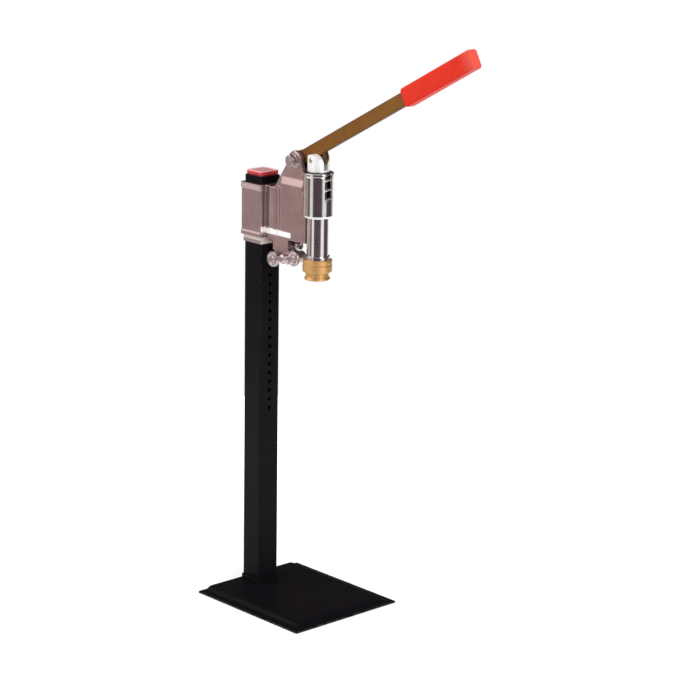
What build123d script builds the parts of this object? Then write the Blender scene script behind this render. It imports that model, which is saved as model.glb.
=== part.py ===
from build123d import *
import math
import os

# Bench bottle capper, in millimetres, +Z up.
# The origin is the centre of the base's underside, on the bench top.
# The lever and the bottle side face -Y, and the column stands near the +Y edge.

# Base plate: a pressed sheet with a flat flange and a raised middle
base_width = 160.0
base_depth = 180.0
base_sheet = 2.0
base_rise = 5.0
base_flange = 9.0
base_slope = 4.0
base_rear_flange = 2.0
base_rear_slope = 2.0
base_corner_radius = 1.5
foot_pad_radius = 9.0
foot_pad_inset = 22.0

# Column: a square tube with a row of index holes in its front wall
column_side = 30.0
column_wall = 2.0
column_corner_radius = 2.2
column_height = 503.0
column_rear_margin = 7.0
index_hole_diameter = 5.0
index_pitch = 10.9
index_hole_count = 20

# Column foot and end cap
foot_collar_wall = 2.0
foot_collar_height = 5.0
foot_plug_height = 18.0
foot_plug_play = 0.1
foot_plug_chamfer = 1.0
foot_bolt_diameter = 6.0
foot_bolt_hole_play = 0.6
foot_bolt_head_across = 10.0
foot_bolt_head_height = 4.0
foot_bolt_spacing = 17.0
foot_bolt_grip = 14.0
end_cap_side = 27.4
end_cap_height = 6.0
end_cap_stem_depth = 9.0
end_cap_stem_play = 0.2
end_cap_groove_radius = 0.7
end_cap_edge = 1.2
end_cap_grooves_per_side = 6

# Head casting: collar, web, ears and barrel
head_below_column_top = 72.0
collar_height = 63.5
collar_side = 36.0
collar_corner_radius = 2.0
collar_bead_height = 5.5
collar_rim_height = 8.5
collar_bead_proud = 1.2
liner_wall = 0.9
liner_play = 0.1
liner_lip = 8.0
liner_top_margin = 0.5
throat = 98.0
web_width = 22.0
web_above_collar_foot = 4.0
web_reach_past_barrel_rear = 8.0
web_plate = 5.0
web_pocket_rear = 34.0
web_pocket_front_wall = 3.0
web_deck = 6.0
ledge_height = 6.0
ledge_proud = 1.5
ledge_length = 45.0
shoulder_wall = 5.5
shoulder_rise = 8.5
shoulder_rear = 44.0
ear_thickness = 5.0
ear_radius = 11.0
ear_rear = 31.5
ear_front_rise = 18.0
ear_boss_radius = 8.5
ear_boss_proud = 1.5
screw_boss_radius = 5.5
screw_boss_offset = 7.0
screw_boss_ahead = 27.0
barrel_radius = 17.5
barrel_wall = 1.8
barrel_rim_radius = 18.2
barrel_rim_height = 4.0
barrel_rim_round = 0.8
barrel_above_web_foot = 32.0
barrel_length = 53.0
barrel_chamfer = 2.5
barrel_floor = 8.0
lever_window_width = 10.4
lever_window_depth = 32.0
ear_slot_floor_above_web = 1.0

# Plunger, its bush and its return spring
plunger_radius = 12.75
running_play = 0.05
plunger_bush_wall = 1.5
plunger_clearance = 0.35
plunger_head_above_barrel = 21.0
fork_pin_below_top = 7.0
fork_floor_below_pin = 11.0
fork_slot_play = 0.6
fork_pin_diameter = 6.0
fork_pin_length = 24.0
plunger_below_barrel = 54.0
spring_wire = 2.2
spring_coil_play = 0.5
spring_turns = 3.75
spring_seat_thickness = 2.5
spring_seat_play = 0.15
spring_seat_below_rim = 0.5
circlip_thickness = 1.5
circlip_groove_depth = 0.7
circlip_width = 2.2
circlip_gap = 5.0

# Capping bell and its sprung cap holder
bell_radius = 17.25
bell_height = 15.0
bell_overlap = 5.0
bell_mouth_radius = 15.4
bell_mouth_depth = 4.0
bell_groove_depth = 0.9
bell_groove_height = 1.4
bell_edge = 0.8
lock_ring_wall = 1.7
lock_ring_height = 4.0
lock_ring_notch = 3.0
lock_ring_notch_depth = 0.8
holder_radius = 13.5
holder_radial_play = 0.2
holder_flare_radius = 15.0
holder_flare_height = 3.5
holder_travel = 7.5
holder_drop = 9.0
holder_recess_radius = 12.2
holder_recess_depth = 7.0
holder_stem_radius = 7.45
holder_stem_wall = 1.95
holder_stem_length = 28.0
holder_stem_floor = 4.0
holder_top_gap = 0.5
holder_bore_depth = 30.0
holder_spring_wire = 1.2
holder_spring_play = 0.7
holder_spring_turns = 7.0
magnet_radius = 7.0
magnet_thickness = 2.5
magnet_pocket_depth = 2.0
keeper_screw_diameter = 4.0
keeper_screw_above_end = 14.0
keeper_slot_play = 0.15
keeper_reach = 1.3
keeper_direction = 45.0

# Lever, its grip and its pivot
lever_angle = 28.0
lever_turn = 48.0
plunger_per_radian = 33.4
pivot_behind_plunger = 32.0
pivot_above_web = 35.5
lever_thickness = 5.0
lever_width = 16.0
lever_length = 314.0
lever_root_radius = 10.0
lobe_wall = 4.2
lobe_root = 19.0
lobe_nose = 47.0
cam_slot_play = 0.15
cam_slot_samples = 25
grip_length = 117.0
grip_height = 22.0
grip_thickness = 14.0
grip_corner_radius = 3.0
grip_end_radius = 2.4
grip_end_wall = 12.0
pivot_bolt_diameter = 8.0
pivot_bolt_across = 13.0
pivot_bolt_head = 5.3
pivot_nut_height = 8.0
pivot_washer_radius = 8.0
pivot_washer_thickness = 1.6
pivot_bolt_end = 1.5
pivot_bush_wall = 2.0
spacer_thickness = 1.2
spacer_radius = 9.0
spacer_play = 0.1

# Lock block, index pin and wing screw under the head
block_width = 20.0
block_flange_rear = 20.5
block_flange_height = 4.0
block_rear = 31.0
block_front = 57.0
block_height = 15.0
block_slit = 2.0
clamp_ahead = 56.5
clamp_below_web = 22.1
clamp_lug_radius = 7.5
block_screw_diameter = 4.0
block_screw_head_diameter = 7.4
block_screw_head_height = 4.0
block_screw_socket = 3.0
block_screw_socket_depth = 2.2
index_below_collar = 3.5
index_pin_diameter = 6.0
index_tip_diameter = 4.8
index_tip_gap = 0.3
index_tip_length = 5.2
index_travel = 4.5
index_knob_radius = 5.5
index_knob_length = 6.0
index_knob_socket = 4.0
index_knob_gap = 1.5
index_knob_edge = 1.0
liner_window_play = 0.4
wing_screw_diameter = 6.0
wing_screw_play = 0.05
wing_disc_radius = 9.25
wing_disc_thickness = 4.5
wing_disc_offset = 18.3
wing_bar_height = 6.5
wing_tilt = 10.5
wing_hub_radius = 6.0
wing_standoff = 4.0
wing_hub_proud = 1.5
clamp_washer_radius = 6.5
clamp_washer_thickness = 1.2
clamp_nut_across = 10.0
clamp_nut_height = 5.0

# Heights and places worked out from the sizes above
column_y = base_depth / 2 - column_rear_margin - column_side / 2
plate_top = base_sheet + base_rise
column_top = plate_top + column_height
collar_bottom = column_top - head_below_column_top
collar_top = collar_bottom + collar_height
web_bottom = collar_bottom + web_above_collar_foot
web_top = collar_top
plunger_y = column_y - throat
barrel_bottom = web_bottom + barrel_above_web_foot
barrel_top = barrel_bottom + barrel_length
barrel_bore = barrel_radius - barrel_wall
barrel_floor_top = barrel_bottom + barrel_floor
pivot_y = plunger_y + pivot_behind_plunger
pivot_z = web_top + pivot_above_web
plunger_top = barrel_top + plunger_head_above_barrel
plunger_end = barrel_bottom - plunger_below_barrel
fork_pin_z = plunger_top - fork_pin_below_top
fork_floor = fork_pin_z - fork_floor_below_pin
seat_top = barrel_top - spring_seat_below_rim
seat_bottom = seat_top - spring_seat_thickness
bell_top = plunger_end + bell_overlap
bell_bottom = bell_top - bell_height
holder_bottom = bell_bottom - holder_drop
holder_top = plunger_end - holder_travel - holder_top_gap
holder_roof = holder_bottom + holder_recess_depth
stem_top = holder_top + holder_stem_length
holder_bore_roof = plunger_end + holder_bore_depth
holder_bore_radius = holder_stem_radius + running_play
keeper_z = plunger_end + keeper_screw_above_end
index_z = collar_bottom - index_below_collar
ear_slot = lever_thickness + 2 * (spacer_thickness + spacer_play)
ear_half = ear_slot / 2 + ear_thickness
clamp_z = web_bottom - clamp_below_web
collar_bore = column_side + 2 * (liner_play + liner_wall)
plunger_axis = Axis((0, plunger_y, 0), (0, 0, 1))


def ahead(distance):
    """The Y of a point this far in front of the column's centre."""
    return column_y - distance


def plane_at_y(y):
    """An upright plane across the object, whose extrusions run towards -Y."""
    return Plane.XZ.offset(-y)


def pin_in_lever(turn):
    """Where the fork pin lies in the lever's own frame when the lever has turned this far."""
    rise = fork_pin_z - pivot_z - plunger_per_radian * turn
    slope = math.radians(lever_angle) - turn
    along = pivot_behind_plunger * math.cos(slope) + rise * math.sin(slope)
    across = rise * math.cos(slope) - pivot_behind_plunger * math.sin(slope)
    return along, across


slope_now = math.radians(lever_angle)
lever_plane = Plane(
    origin=(0, pivot_y, pivot_z),
    x_dir=(0, -math.cos(slope_now), math.sin(slope_now)),
    z_dir=(-1, 0, 0),
)
full_turn = math.radians(lever_turn)
pin_path = [pin_in_lever(full_turn * i / (cam_slot_samples - 1)) for i in range(cam_slot_samples)]
slot_start = min(along for along, across in pin_path)
slot_end = max(along for along, across in pin_path)
slot_low = min(across for along, across in pin_path)
slot_high = max(across for along, across in pin_path)
slot_width = fork_pin_diameter + (slot_high - slot_low) + 2 * cam_slot_play
slot_middle = (slot_low + slot_high) / 2
index_heights = [index_z - i * index_pitch for i in range(index_hole_count)]

os.makedirs("parts", exist_ok=True)


def write(piece, name):
    """Label one finished piece and write its STEP file."""
    piece.part.label = name
    export_step(piece.part, f"parts/{name}.step")


def raised_rectangle(inset, rear_inset):
    """A rectangle of the raised middle, this far inside the plate's edges."""
    front = -base_depth / 2 + inset
    rear = base_depth / 2 - rear_inset
    with Locations((0, (front + rear) / 2)):
        Rectangle(base_width - 2 * inset, rear - front)


# Base plate
foot_inset = base_flange + base_slope
rear_foot_inset = base_rear_flange + base_rear_slope
with BuildPart() as base_plate:
    with BuildSketch():
        RectangleRounded(base_width, base_depth, base_corner_radius)
    extrude(amount=base_sheet)
    with BuildSketch(Plane.XY.offset(base_sheet)):
        raised_rectangle(base_flange, base_rear_flange)
    with BuildSketch(Plane.XY.offset(plate_top)):
        raised_rectangle(foot_inset, rear_foot_inset)
    loft()
    with BuildSketch():
        raised_rectangle(base_flange + base_sheet, base_rear_flange + base_sheet)
    with BuildSketch(Plane.XY.offset(base_rise)):
        raised_rectangle(foot_inset + base_sheet, rear_foot_inset + base_sheet)
    loft(mode=Mode.SUBTRACT)
    with Locations((0, column_y, plate_top)):
        with GridLocations(foot_bolt_spacing, 0, 2, 1):
            Hole(foot_bolt_diameter / 2 + foot_bolt_hole_play / 2, base_sheet)
write(base_plate, "base_plate")

with BuildPart() as base_feet:
    with BuildSketch():
        with GridLocations(
            base_width - 2 * (foot_inset + foot_pad_inset),
            base_depth - 2 * (foot_inset + foot_pad_inset),
            2,
            2,
        ):
            Circle(foot_pad_radius)
    extrude(amount=base_rise)
write(base_feet, "base_feet")

# Column tube with its index holes
column_inside = column_side - 2 * column_wall
with BuildPart() as column_tube:
    with BuildSketch(Plane.XY.offset(plate_top)):
        with Locations((0, column_y)):
            RectangleRounded(column_side, column_side, column_corner_radius)
            Rectangle(column_inside, column_inside, mode=Mode.SUBTRACT)
    extrude(amount=column_height)
    with BuildSketch(plane_at_y(column_y)):
        with Locations([(0, height) for height in index_heights]):
            Circle(index_hole_diameter / 2)
    extrude(amount=column_side, mode=Mode.SUBTRACT)
write(column_tube, "column_tube")

with BuildPart() as column_foot_collar:
    with BuildSketch(Plane.XY.offset(plate_top)):
        collar_foot_side = column_side + 2 * foot_collar_wall
        with Locations((0, column_y)):
            RectangleRounded(
                collar_foot_side, collar_foot_side, column_corner_radius + foot_collar_wall
            )
            RectangleRounded(
                column_side, column_side, column_corner_radius, mode=Mode.SUBTRACT
            )
    extrude(amount=foot_collar_height)
    outer_top = column_foot_collar.faces().sort_by(Axis.Z)[-1].outer_wire().edges()
    chamfer(outer_top, length=foot_collar_wall / 2)
write(column_foot_collar, "column_foot_collar")

with BuildPart() as column_foot_plug:
    plug_side = column_inside - 2 * foot_plug_play
    with BuildSketch(Plane.XY.offset(plate_top)):
        with Locations((0, column_y)):
            Rectangle(plug_side, plug_side)
        with Locations((0, column_y)):
            with GridLocations(foot_bolt_spacing, 0, 2, 1):
                Circle(foot_bolt_diameter / 2, mode=Mode.SUBTRACT)
    extrude(amount=foot_plug_height)
    top_outline = column_foot_plug.faces().sort_by(Axis.Z)[-1].outer_wire().edges()
    chamfer(top_outline, length=foot_plug_chamfer)
write(column_foot_plug, "column_foot_plug")

with BuildPart() as foot_bolts:
    with BuildSketch(Plane.XY.offset(base_rise - foot_bolt_head_height)):
        with Locations((0, column_y)):
            with GridLocations(foot_bolt_spacing, 0, 2, 1):
                RegularPolygon(foot_bolt_head_across / 2, 6, major_radius=False)
    extrude(amount=foot_bolt_head_height)
    with BuildSketch(Plane.XY.offset(base_rise)):
        with Locations((0, column_y)):
            with GridLocations(foot_bolt_spacing, 0, 2, 1):
                Circle(foot_bolt_diameter / 2)
    extrude(amount=base_sheet + foot_bolt_grip)
write(foot_bolts, "foot_bolts")

# Red end cap: a grooved head over a stem that plugs the column
with BuildPart() as column_end_cap:
    with BuildSketch(Plane.XY.offset(column_top)):
        with Locations((0, column_y)):
            RectangleRounded(end_cap_side, end_cap_side, column_corner_radius)
    extrude(amount=end_cap_height)
    fillet(column_end_cap.faces().sort_by(Axis.Z)[-1].edges(), radius=end_cap_edge)
    groove_pitch = (end_cap_side - 2 * column_corner_radius) / end_cap_grooves_per_side
    with BuildSketch(Plane.XY.offset(column_top)):
        with Locations((0, column_y)):
            with GridLocations(groove_pitch, end_cap_side, end_cap_grooves_per_side, 2):
                Circle(end_cap_groove_radius)
            with GridLocations(end_cap_side, groove_pitch, 2, end_cap_grooves_per_side):
                Circle(end_cap_groove_radius)
    extrude(amount=end_cap_height / 2, mode=Mode.SUBTRACT)
    with BuildSketch(Plane.XY.offset(column_top)):
        with Locations((0, column_y)):
            stem_side = column_inside - 2 * end_cap_stem_play
            Rectangle(stem_side, stem_side)
    extrude(amount=-end_cap_stem_depth)
write(column_end_cap, "column_end_cap")

# Head casting
web_front = throat - barrel_radius + web_reach_past_barrel_rear
ear_foot_front = throat - barrel_radius + 2.0
with BuildPart() as head_casting:
    with BuildSketch(Plane.XY.offset(collar_bottom)):
        with Locations((0, column_y)):
            RectangleRounded(collar_side, collar_side, collar_corner_radius)
    extrude(amount=collar_height)
    bead_side = collar_side + 2 * collar_bead_proud
    for bead_bottom, bead_height in (
        (collar_bottom, collar_bead_height),
        (collar_top - collar_rim_height, collar_rim_height),
    ):
        with BuildSketch(Plane.XY.offset(bead_bottom)):
            with Locations((0, column_y)):
                RectangleRounded(bead_side, bead_side, collar_corner_radius + collar_bead_proud)
        extrude(amount=bead_height)
    with BuildSketch(Plane.XY.offset(web_bottom)):
        with Locations((0, (column_y + ahead(web_front)) / 2)):
            Rectangle(web_width, web_front)
    extrude(amount=web_top - web_bottom)
    with BuildSketch(Plane.XY.offset(web_bottom)):
        ledge_front = collar_side / 2 + ledge_length
        with Locations((0, (column_y + ahead(ledge_front)) / 2)):
            Rectangle(web_width + 2 * ledge_proud, ledge_front)
    extrude(amount=ledge_height)
    with BuildSketch(plane_at_y(ahead(shoulder_rear))):
        Polygon(
            (-web_width / 2, web_top),
            (web_width / 2, web_top),
            (web_width / 2, web_top + shoulder_wall),
            (ear_half, web_top + shoulder_wall + shoulder_rise),
            (-ear_half, web_top + shoulder_wall + shoulder_rise),
            (-web_width / 2, web_top + shoulder_wall),
            align=None,
        )
    extrude(amount=ear_foot_front - shoulder_rear)
    with BuildSketch(Plane.XY.offset(web_bottom)):
        with Locations(*[(side * screw_boss_offset, ahead(screw_boss_ahead)) for side in (-1, 1)]):
            Circle(screw_boss_radius)
    extrude(amount=web_top - web_bottom)
    with BuildSketch(Plane.YZ):
        with Locations((pivot_y, pivot_z)):
            Circle(ear_radius)
        Polygon(
            (ahead(ear_rear), web_top),
            (ahead(ear_foot_front), web_top),
            (ahead(ear_foot_front), web_top + ear_front_rise),
            align=None,
        )
        make_hull()
    extrude(amount=ear_half, both=True)
    with BuildSketch(Plane.YZ):
        with Locations((pivot_y, pivot_z)):
            Circle(ear_boss_radius)
    extrude(amount=ear_half + ear_boss_proud, both=True)
    with BuildSketch(plane_at_y(plunger_y)):
        Polygon(
            (0, barrel_bottom),
            (barrel_radius - barrel_chamfer, barrel_bottom),
            (barrel_radius, barrel_bottom + barrel_chamfer),
            (barrel_radius, barrel_top - barrel_rim_height),
            (barrel_rim_radius, barrel_top - barrel_rim_height + barrel_rim_round),
            (barrel_rim_radius, barrel_top - barrel_rim_round),
            (barrel_rim_radius - barrel_rim_round, barrel_top),
            (0, barrel_top),
            align=None,
        )
    revolve(axis=plunger_axis)
    # Column hole, barrel bore, bush seat and the plunger's way below the barrel
    with BuildSketch(Plane.XY.offset(collar_bottom)):
        with Locations((0, column_y)):
            Rectangle(collar_bore, collar_bore)
    extrude(amount=web_top - collar_bottom, mode=Mode.SUBTRACT)
    with BuildSketch(Plane.XY.offset(barrel_floor_top)):
        with Locations((0, plunger_y)):
            Circle(barrel_bore)
    extrude(amount=plunger_top - barrel_floor_top, mode=Mode.SUBTRACT)
    with BuildSketch(Plane.XY.offset(barrel_bottom)):
        with Locations((0, plunger_y)):
            Circle(plunger_radius + running_play + plunger_bush_wall)
    extrude(amount=barrel_floor, mode=Mode.SUBTRACT)
    with BuildSketch(Plane.XY.offset(web_bottom)):
        with Locations((0, plunger_y)):
            Circle(plunger_radius + plunger_clearance)
    extrude(amount=barrel_bottom - web_bottom, mode=Mode.SUBTRACT)
    # Lever slot between the ears and through the barrel's rear, and the window in its front
    slot_floor = web_top + ear_slot_floor_above_web
    with BuildSketch(Plane.XY.offset(slot_floor)):
        with Locations((0, (ahead(collar_bore / 2) + plunger_y) / 2)):
            Rectangle(ear_slot, throat - collar_bore / 2)
    extrude(amount=pivot_z + 2 * ear_radius - slot_floor, mode=Mode.SUBTRACT)
    with BuildSketch(Plane.XY.offset(barrel_top - lever_window_depth)):
        with Locations((0, plunger_y - barrel_radius)):
            Rectangle(lever_window_width, 2 * barrel_radius)
    extrude(amount=lever_window_depth, mode=Mode.SUBTRACT)
    # Cored pocket in the web, open below in front of the lock block
    pocket_front = throat - barrel_radius - web_pocket_front_wall
    pocket_width = web_width - 2 * web_plate
    with BuildSketch(Plane.XY.offset(web_bottom + web_deck)):
        with Locations((0, (ahead(web_pocket_rear) + ahead(pocket_front)) / 2)):
            Rectangle(pocket_width, pocket_front - web_pocket_rear)
    extrude(amount=web_top - web_bottom - 2 * web_deck, mode=Mode.SUBTRACT)
    with BuildSketch(Plane.XY.offset(web_bottom)):
        with Locations((0, (ahead(block_front + web_deck) + ahead(pocket_front)) / 2)):
            Rectangle(pocket_width, pocket_front - block_front - web_deck)
    extrude(amount=web_deck, mode=Mode.SUBTRACT)
    # Pivot hole and the two screw bores
    with BuildSketch(Plane.YZ):
        with Locations((pivot_y, pivot_z)):
            Circle(pivot_bolt_diameter / 2)
    extrude(amount=web_width, both=True, mode=Mode.SUBTRACT)
    for radius, bottom in (
        (block_screw_diameter / 2, web_bottom),
        (block_screw_head_diameter / 2, web_top - block_screw_head_height),
    ):
        with BuildSketch(Plane.XY.offset(bottom)):
            with Locations(
                *[(side * screw_boss_offset, ahead(screw_boss_ahead)) for side in (-1, 1)]
            ):
                Circle(radius)
        extrude(amount=web_top - bottom, mode=Mode.SUBTRACT)
write(head_casting, "head_casting")

with BuildPart() as column_liner:
    liner_inside = column_side + 2 * liner_play
    with BuildSketch(Plane.XY.offset(collar_bottom - liner_lip)):
        with Locations((0, column_y)):
            Rectangle(collar_bore, collar_bore)
            Rectangle(liner_inside, liner_inside, mode=Mode.SUBTRACT)
    extrude(amount=collar_height + liner_lip - liner_top_margin)
    with BuildSketch(plane_at_y(column_y)):
        with Locations((0, index_z)):
            Circle(index_tip_diameter / 2 + liner_window_play)
    extrude(amount=column_side, mode=Mode.SUBTRACT)
write(column_liner, "column_liner")

# Lock block: a flange under the web, a body with a clamping slit, and its lugs
with BuildPart() as lock_block:
    block_middle = (ahead(block_rear) + ahead(block_front)) / 2
    flange_middle = (ahead(block_flange_rear) + ahead(block_front)) / 2
    with BuildSketch(Plane.YZ):
        with Locations((ahead(clamp_ahead), clamp_z)):
            Circle(clamp_lug_radius)
        with Locations((block_middle, web_bottom - block_height + block_flange_height / 2)):
            Rectangle(block_front - block_rear, block_flange_height)
        make_hull()
        with Locations((block_middle, web_bottom - block_height / 2)):
            Rectangle(block_front - block_rear, block_height)
        with Locations((flange_middle, web_bottom - block_flange_height / 2)):
            Rectangle(block_front - block_flange_rear, block_flange_height)
    extrude(amount=block_width / 2, both=True)
    with BuildSketch(plane_at_y(ahead(block_rear))):
        with Locations((0, index_z)):
            Circle(index_pin_diameter / 2 + running_play)
    extrude(amount=throat, mode=Mode.SUBTRACT)
    slit_top = web_bottom - block_flange_height
    slit_bottom = clamp_z - 2 * clamp_lug_radius
    with BuildSketch(plane_at_y(ahead(block_rear))):
        with Locations((0, (slit_top + slit_bottom) / 2)):
            Rectangle(block_slit, slit_top - slit_bottom)
    extrude(amount=throat, mode=Mode.SUBTRACT)
    with BuildSketch(Plane.YZ):
        with Locations((ahead(clamp_ahead), clamp_z)):
            Circle(wing_screw_diameter / 2 + wing_screw_play)
    extrude(amount=block_width, both=True, mode=Mode.SUBTRACT)
    with BuildSketch(Plane.XY.offset(web_bottom - block_flange_height)):
        with Locations(*[(side * screw_boss_offset, ahead(screw_boss_ahead)) for side in (-1, 1)]):
            Circle(block_screw_diameter / 2)
    extrude(amount=block_flange_height, mode=Mode.SUBTRACT)
write(lock_block, "lock_block")

with BuildPart() as lock_block_screws:
    with BuildSketch(Plane.XY.offset(web_bottom - block_flange_height)):
        with Locations(*[(side * screw_boss_offset, ahead(screw_boss_ahead)) for side in (-1, 1)]):
            Circle(block_screw_diameter / 2)
    extrude(amount=block_flange_height + web_top - block_screw_head_height - web_bottom)
    with BuildSketch(Plane.XY.offset(web_top - block_screw_head_height)):
        with Locations(*[(side * screw_boss_offset, ahead(screw_boss_ahead)) for side in (-1, 1)]):
            Circle(block_screw_head_diameter / 2)
    extrude(amount=block_screw_head_height)
    with BuildSketch(Plane.XY.offset(web_top - block_screw_socket_depth)):
        with Locations(*[(side * screw_boss_offset, ahead(screw_boss_ahead)) for side in (-1, 1)]):
            RegularPolygon(block_screw_socket / 2, 6, major_radius=False)
    extrude(amount=block_screw_socket_depth, mode=Mode.SUBTRACT)
write(lock_block_screws, "lock_block_screws")

# Index pin, drawn clear of the column, and its knob
index_tip = column_side / 2 + index_tip_gap
index_shoulder = index_tip + index_tip_length
knob_start = block_front + index_travel + index_knob_gap
with BuildPart() as index_pin:
    with BuildSketch(plane_at_y(ahead(index_tip))):
        with Locations((0, index_z)):
            Circle(index_tip_diameter / 2)
    extrude(amount=index_tip_length)
    with BuildSketch(plane_at_y(ahead(index_shoulder))):
        with Locations((0, index_z)):
            Circle(index_pin_diameter / 2)
    extrude(amount=knob_start + index_knob_socket - index_shoulder)
write(index_pin, "index_pin")

with BuildPart() as index_knob:
    with BuildSketch(plane_at_y(ahead(knob_start))):
        with Locations((0, index_z)):
            Circle(index_knob_radius)
    extrude(amount=index_knob_length)
    chamfer(index_knob.edges().filter_by(GeomType.CIRCLE), length=index_knob_edge)
    with BuildSketch(plane_at_y(ahead(knob_start))):
        with Locations((0, index_z)):
            Circle(index_pin_diameter / 2)
    extrude(amount=index_knob_socket, mode=Mode.SUBTRACT)
write(index_knob, "index_knob")

# Wing screw through the slit lugs, with its washer and nut
wing_inner = block_width / 2 + wing_standoff
wing_outer = wing_inner + wing_disc_thickness
washer_outer = block_width / 2 + clamp_washer_thickness
with BuildPart() as wing_screw:
    with BuildSketch(Plane.YZ.offset(-wing_outer)):
        with Locations(Location((ahead(clamp_ahead), clamp_z), -wing_tilt)):
            with GridLocations(2 * wing_disc_offset, 0, 2, 1):
                Circle(wing_disc_radius)
            Rectangle(2 * wing_disc_offset, wing_bar_height)
    extrude(amount=wing_disc_thickness)
    fillet(wing_screw.edges().filter_by(GeomType.CIRCLE), radius=0.8)
    with BuildSketch(Plane.YZ.offset(-wing_outer - wing_hub_proud)):
        with Locations((ahead(clamp_ahead), clamp_z)):
            Circle(wing_hub_radius)
    extrude(amount=wing_outer + wing_hub_proud - washer_outer)
    with BuildSketch(Plane.YZ.offset(-washer_outer)):
        with Locations((ahead(clamp_ahead), clamp_z)):
            Circle(wing_screw_diameter / 2)
    extrude(amount=washer_outer + block_width / 2 + clamp_nut_height)
write(wing_screw, "wing_screw")

with BuildPart() as clamp_washer:
    with BuildSketch(Plane.YZ.offset(-washer_outer)):
        with Locations((ahead(clamp_ahead), clamp_z)):
            Circle(clamp_washer_radius)
            Circle(wing_screw_diameter / 2 + wing_screw_play, mode=Mode.SUBTRACT)
    extrude(amount=clamp_washer_thickness)
write(clamp_washer, "clamp_washer")

with BuildPart() as clamp_nut:
    with BuildSketch(Plane.YZ.offset(block_width / 2)):
        with Locations((ahead(clamp_ahead), clamp_z)):
            RegularPolygon(clamp_nut_across / 2, 6, major_radius=False)
            Circle(wing_screw_diameter / 2 + wing_screw_play, mode=Mode.SUBTRACT)
    extrude(amount=clamp_nut_height)
write(clamp_nut, "clamp_nut")

# Plunger bush, pressed into the barrel's floor
with BuildPart() as plunger_bush:
    with BuildSketch(Plane.XY.offset(barrel_bottom)):
        with Locations((0, plunger_y)):
            Circle(plunger_radius + running_play + plunger_bush_wall)
            Circle(plunger_radius + running_play, mode=Mode.SUBTRACT)
    extrude(amount=barrel_floor)
write(plunger_bush, "plunger_bush")

# Plunger: a turned rod with a forked, arched head
with BuildPart() as plunger:
    with BuildSketch(Plane.XY.offset(plunger_end)):
        with Locations((0, plunger_y)):
            Circle(plunger_radius)
    extrude(amount=plunger_top - plunger_end)
    with BuildSketch(Plane.YZ):
        with Locations((plunger_y, plunger_top - plunger_radius)):
            Circle(plunger_radius)
        straight = plunger_top - plunger_radius - plunger_end
        with Locations((plunger_y, plunger_end + straight / 2)):
            Rectangle(2 * plunger_radius, straight)
    extrude(amount=2 * plunger_radius, both=True, mode=Mode.INTERSECT)
    fork_slot = lever_thickness + 2 * fork_slot_play
    with BuildSketch(Plane.XY.offset(fork_floor)):
        with Locations((0, plunger_y)):
            Rectangle(fork_slot, 3 * plunger_radius)
    extrude(amount=plunger_top - fork_floor, mode=Mode.SUBTRACT)
    with BuildSketch(Plane.YZ):
        with Locations((plunger_y, fork_pin_z)):
            Circle(fork_pin_diameter / 2)
    extrude(amount=2 * plunger_radius, both=True, mode=Mode.SUBTRACT)
    with BuildSketch(Plane.XY.offset(seat_top)):
        with Locations((0, plunger_y)):
            Circle(plunger_radius)
            Circle(plunger_radius - circlip_groove_depth, mode=Mode.SUBTRACT)
    extrude(amount=circlip_thickness, mode=Mode.SUBTRACT)
    with BuildSketch(Plane.XY.offset(plunger_end)):
        with Locations((0, plunger_y)):
            Circle(holder_bore_radius)
    extrude(amount=holder_bore_depth, mode=Mode.SUBTRACT)
    keeper_plane = Plane(
        origin=(0, plunger_y, keeper_z),
        x_dir=(0, 0, 1),
        z_dir=Vector(1, 0, 0).rotate(Axis.Z, keeper_direction),
    )
    with BuildSketch(keeper_plane):
        Circle(keeper_screw_diameter / 2)
    extrude(amount=2 * plunger_radius, mode=Mode.SUBTRACT)
write(plunger, "plunger")

with BuildPart() as fork_pin:
    with BuildSketch(Plane.YZ):
        with Locations((plunger_y, fork_pin_z)):
            Circle(fork_pin_diameter / 2)
    extrude(amount=fork_pin_length / 2, both=True)
write(fork_pin, "fork_pin")


def coil(name, mean_radius, wire, bottom, top, turns):
    """A round-wire spring on the plunger's axis between two seats."""
    height = top - bottom - wire
    with BuildPart() as spring:
        with BuildLine(Plane.XY.offset(bottom + wire / 2)):
            helix = Helix(height / turns, height, mean_radius, center=(0, plunger_y, 0))
        with BuildSketch(Plane(origin=helix @ 0, z_dir=helix % 0)):
            Circle(wire / 2)
        sweep(path=helix, is_frenet=True)
    write(spring, name)


spring_mean = plunger_radius + spring_coil_play + spring_wire / 2
end_play = 0.05
coil(
    "return_spring",
    spring_mean,
    spring_wire,
    barrel_floor_top + end_play,
    seat_bottom - end_play,
    spring_turns,
)

with BuildPart() as spring_seat_ring:
    with BuildSketch(Plane.XY.offset(seat_bottom)):
        with Locations((0, plunger_y)):
            Circle(barrel_bore - spring_seat_play)
            Circle(plunger_radius, mode=Mode.SUBTRACT)
    extrude(amount=spring_seat_thickness)
write(spring_seat_ring, "spring_seat_ring")

with BuildPart() as plunger_circlip:
    with BuildSketch(Plane.XY.offset(seat_top)):
        groove_radius = plunger_radius - circlip_groove_depth
        with Locations((0, plunger_y)):
            Circle(groove_radius + circlip_width)
            Circle(groove_radius, mode=Mode.SUBTRACT)
        with Locations((groove_radius + circlip_width / 2, plunger_y)):
            Rectangle(2 * circlip_width, circlip_gap, mode=Mode.SUBTRACT)
    extrude(amount=circlip_thickness)
write(plunger_circlip, "plunger_circlip")

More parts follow.
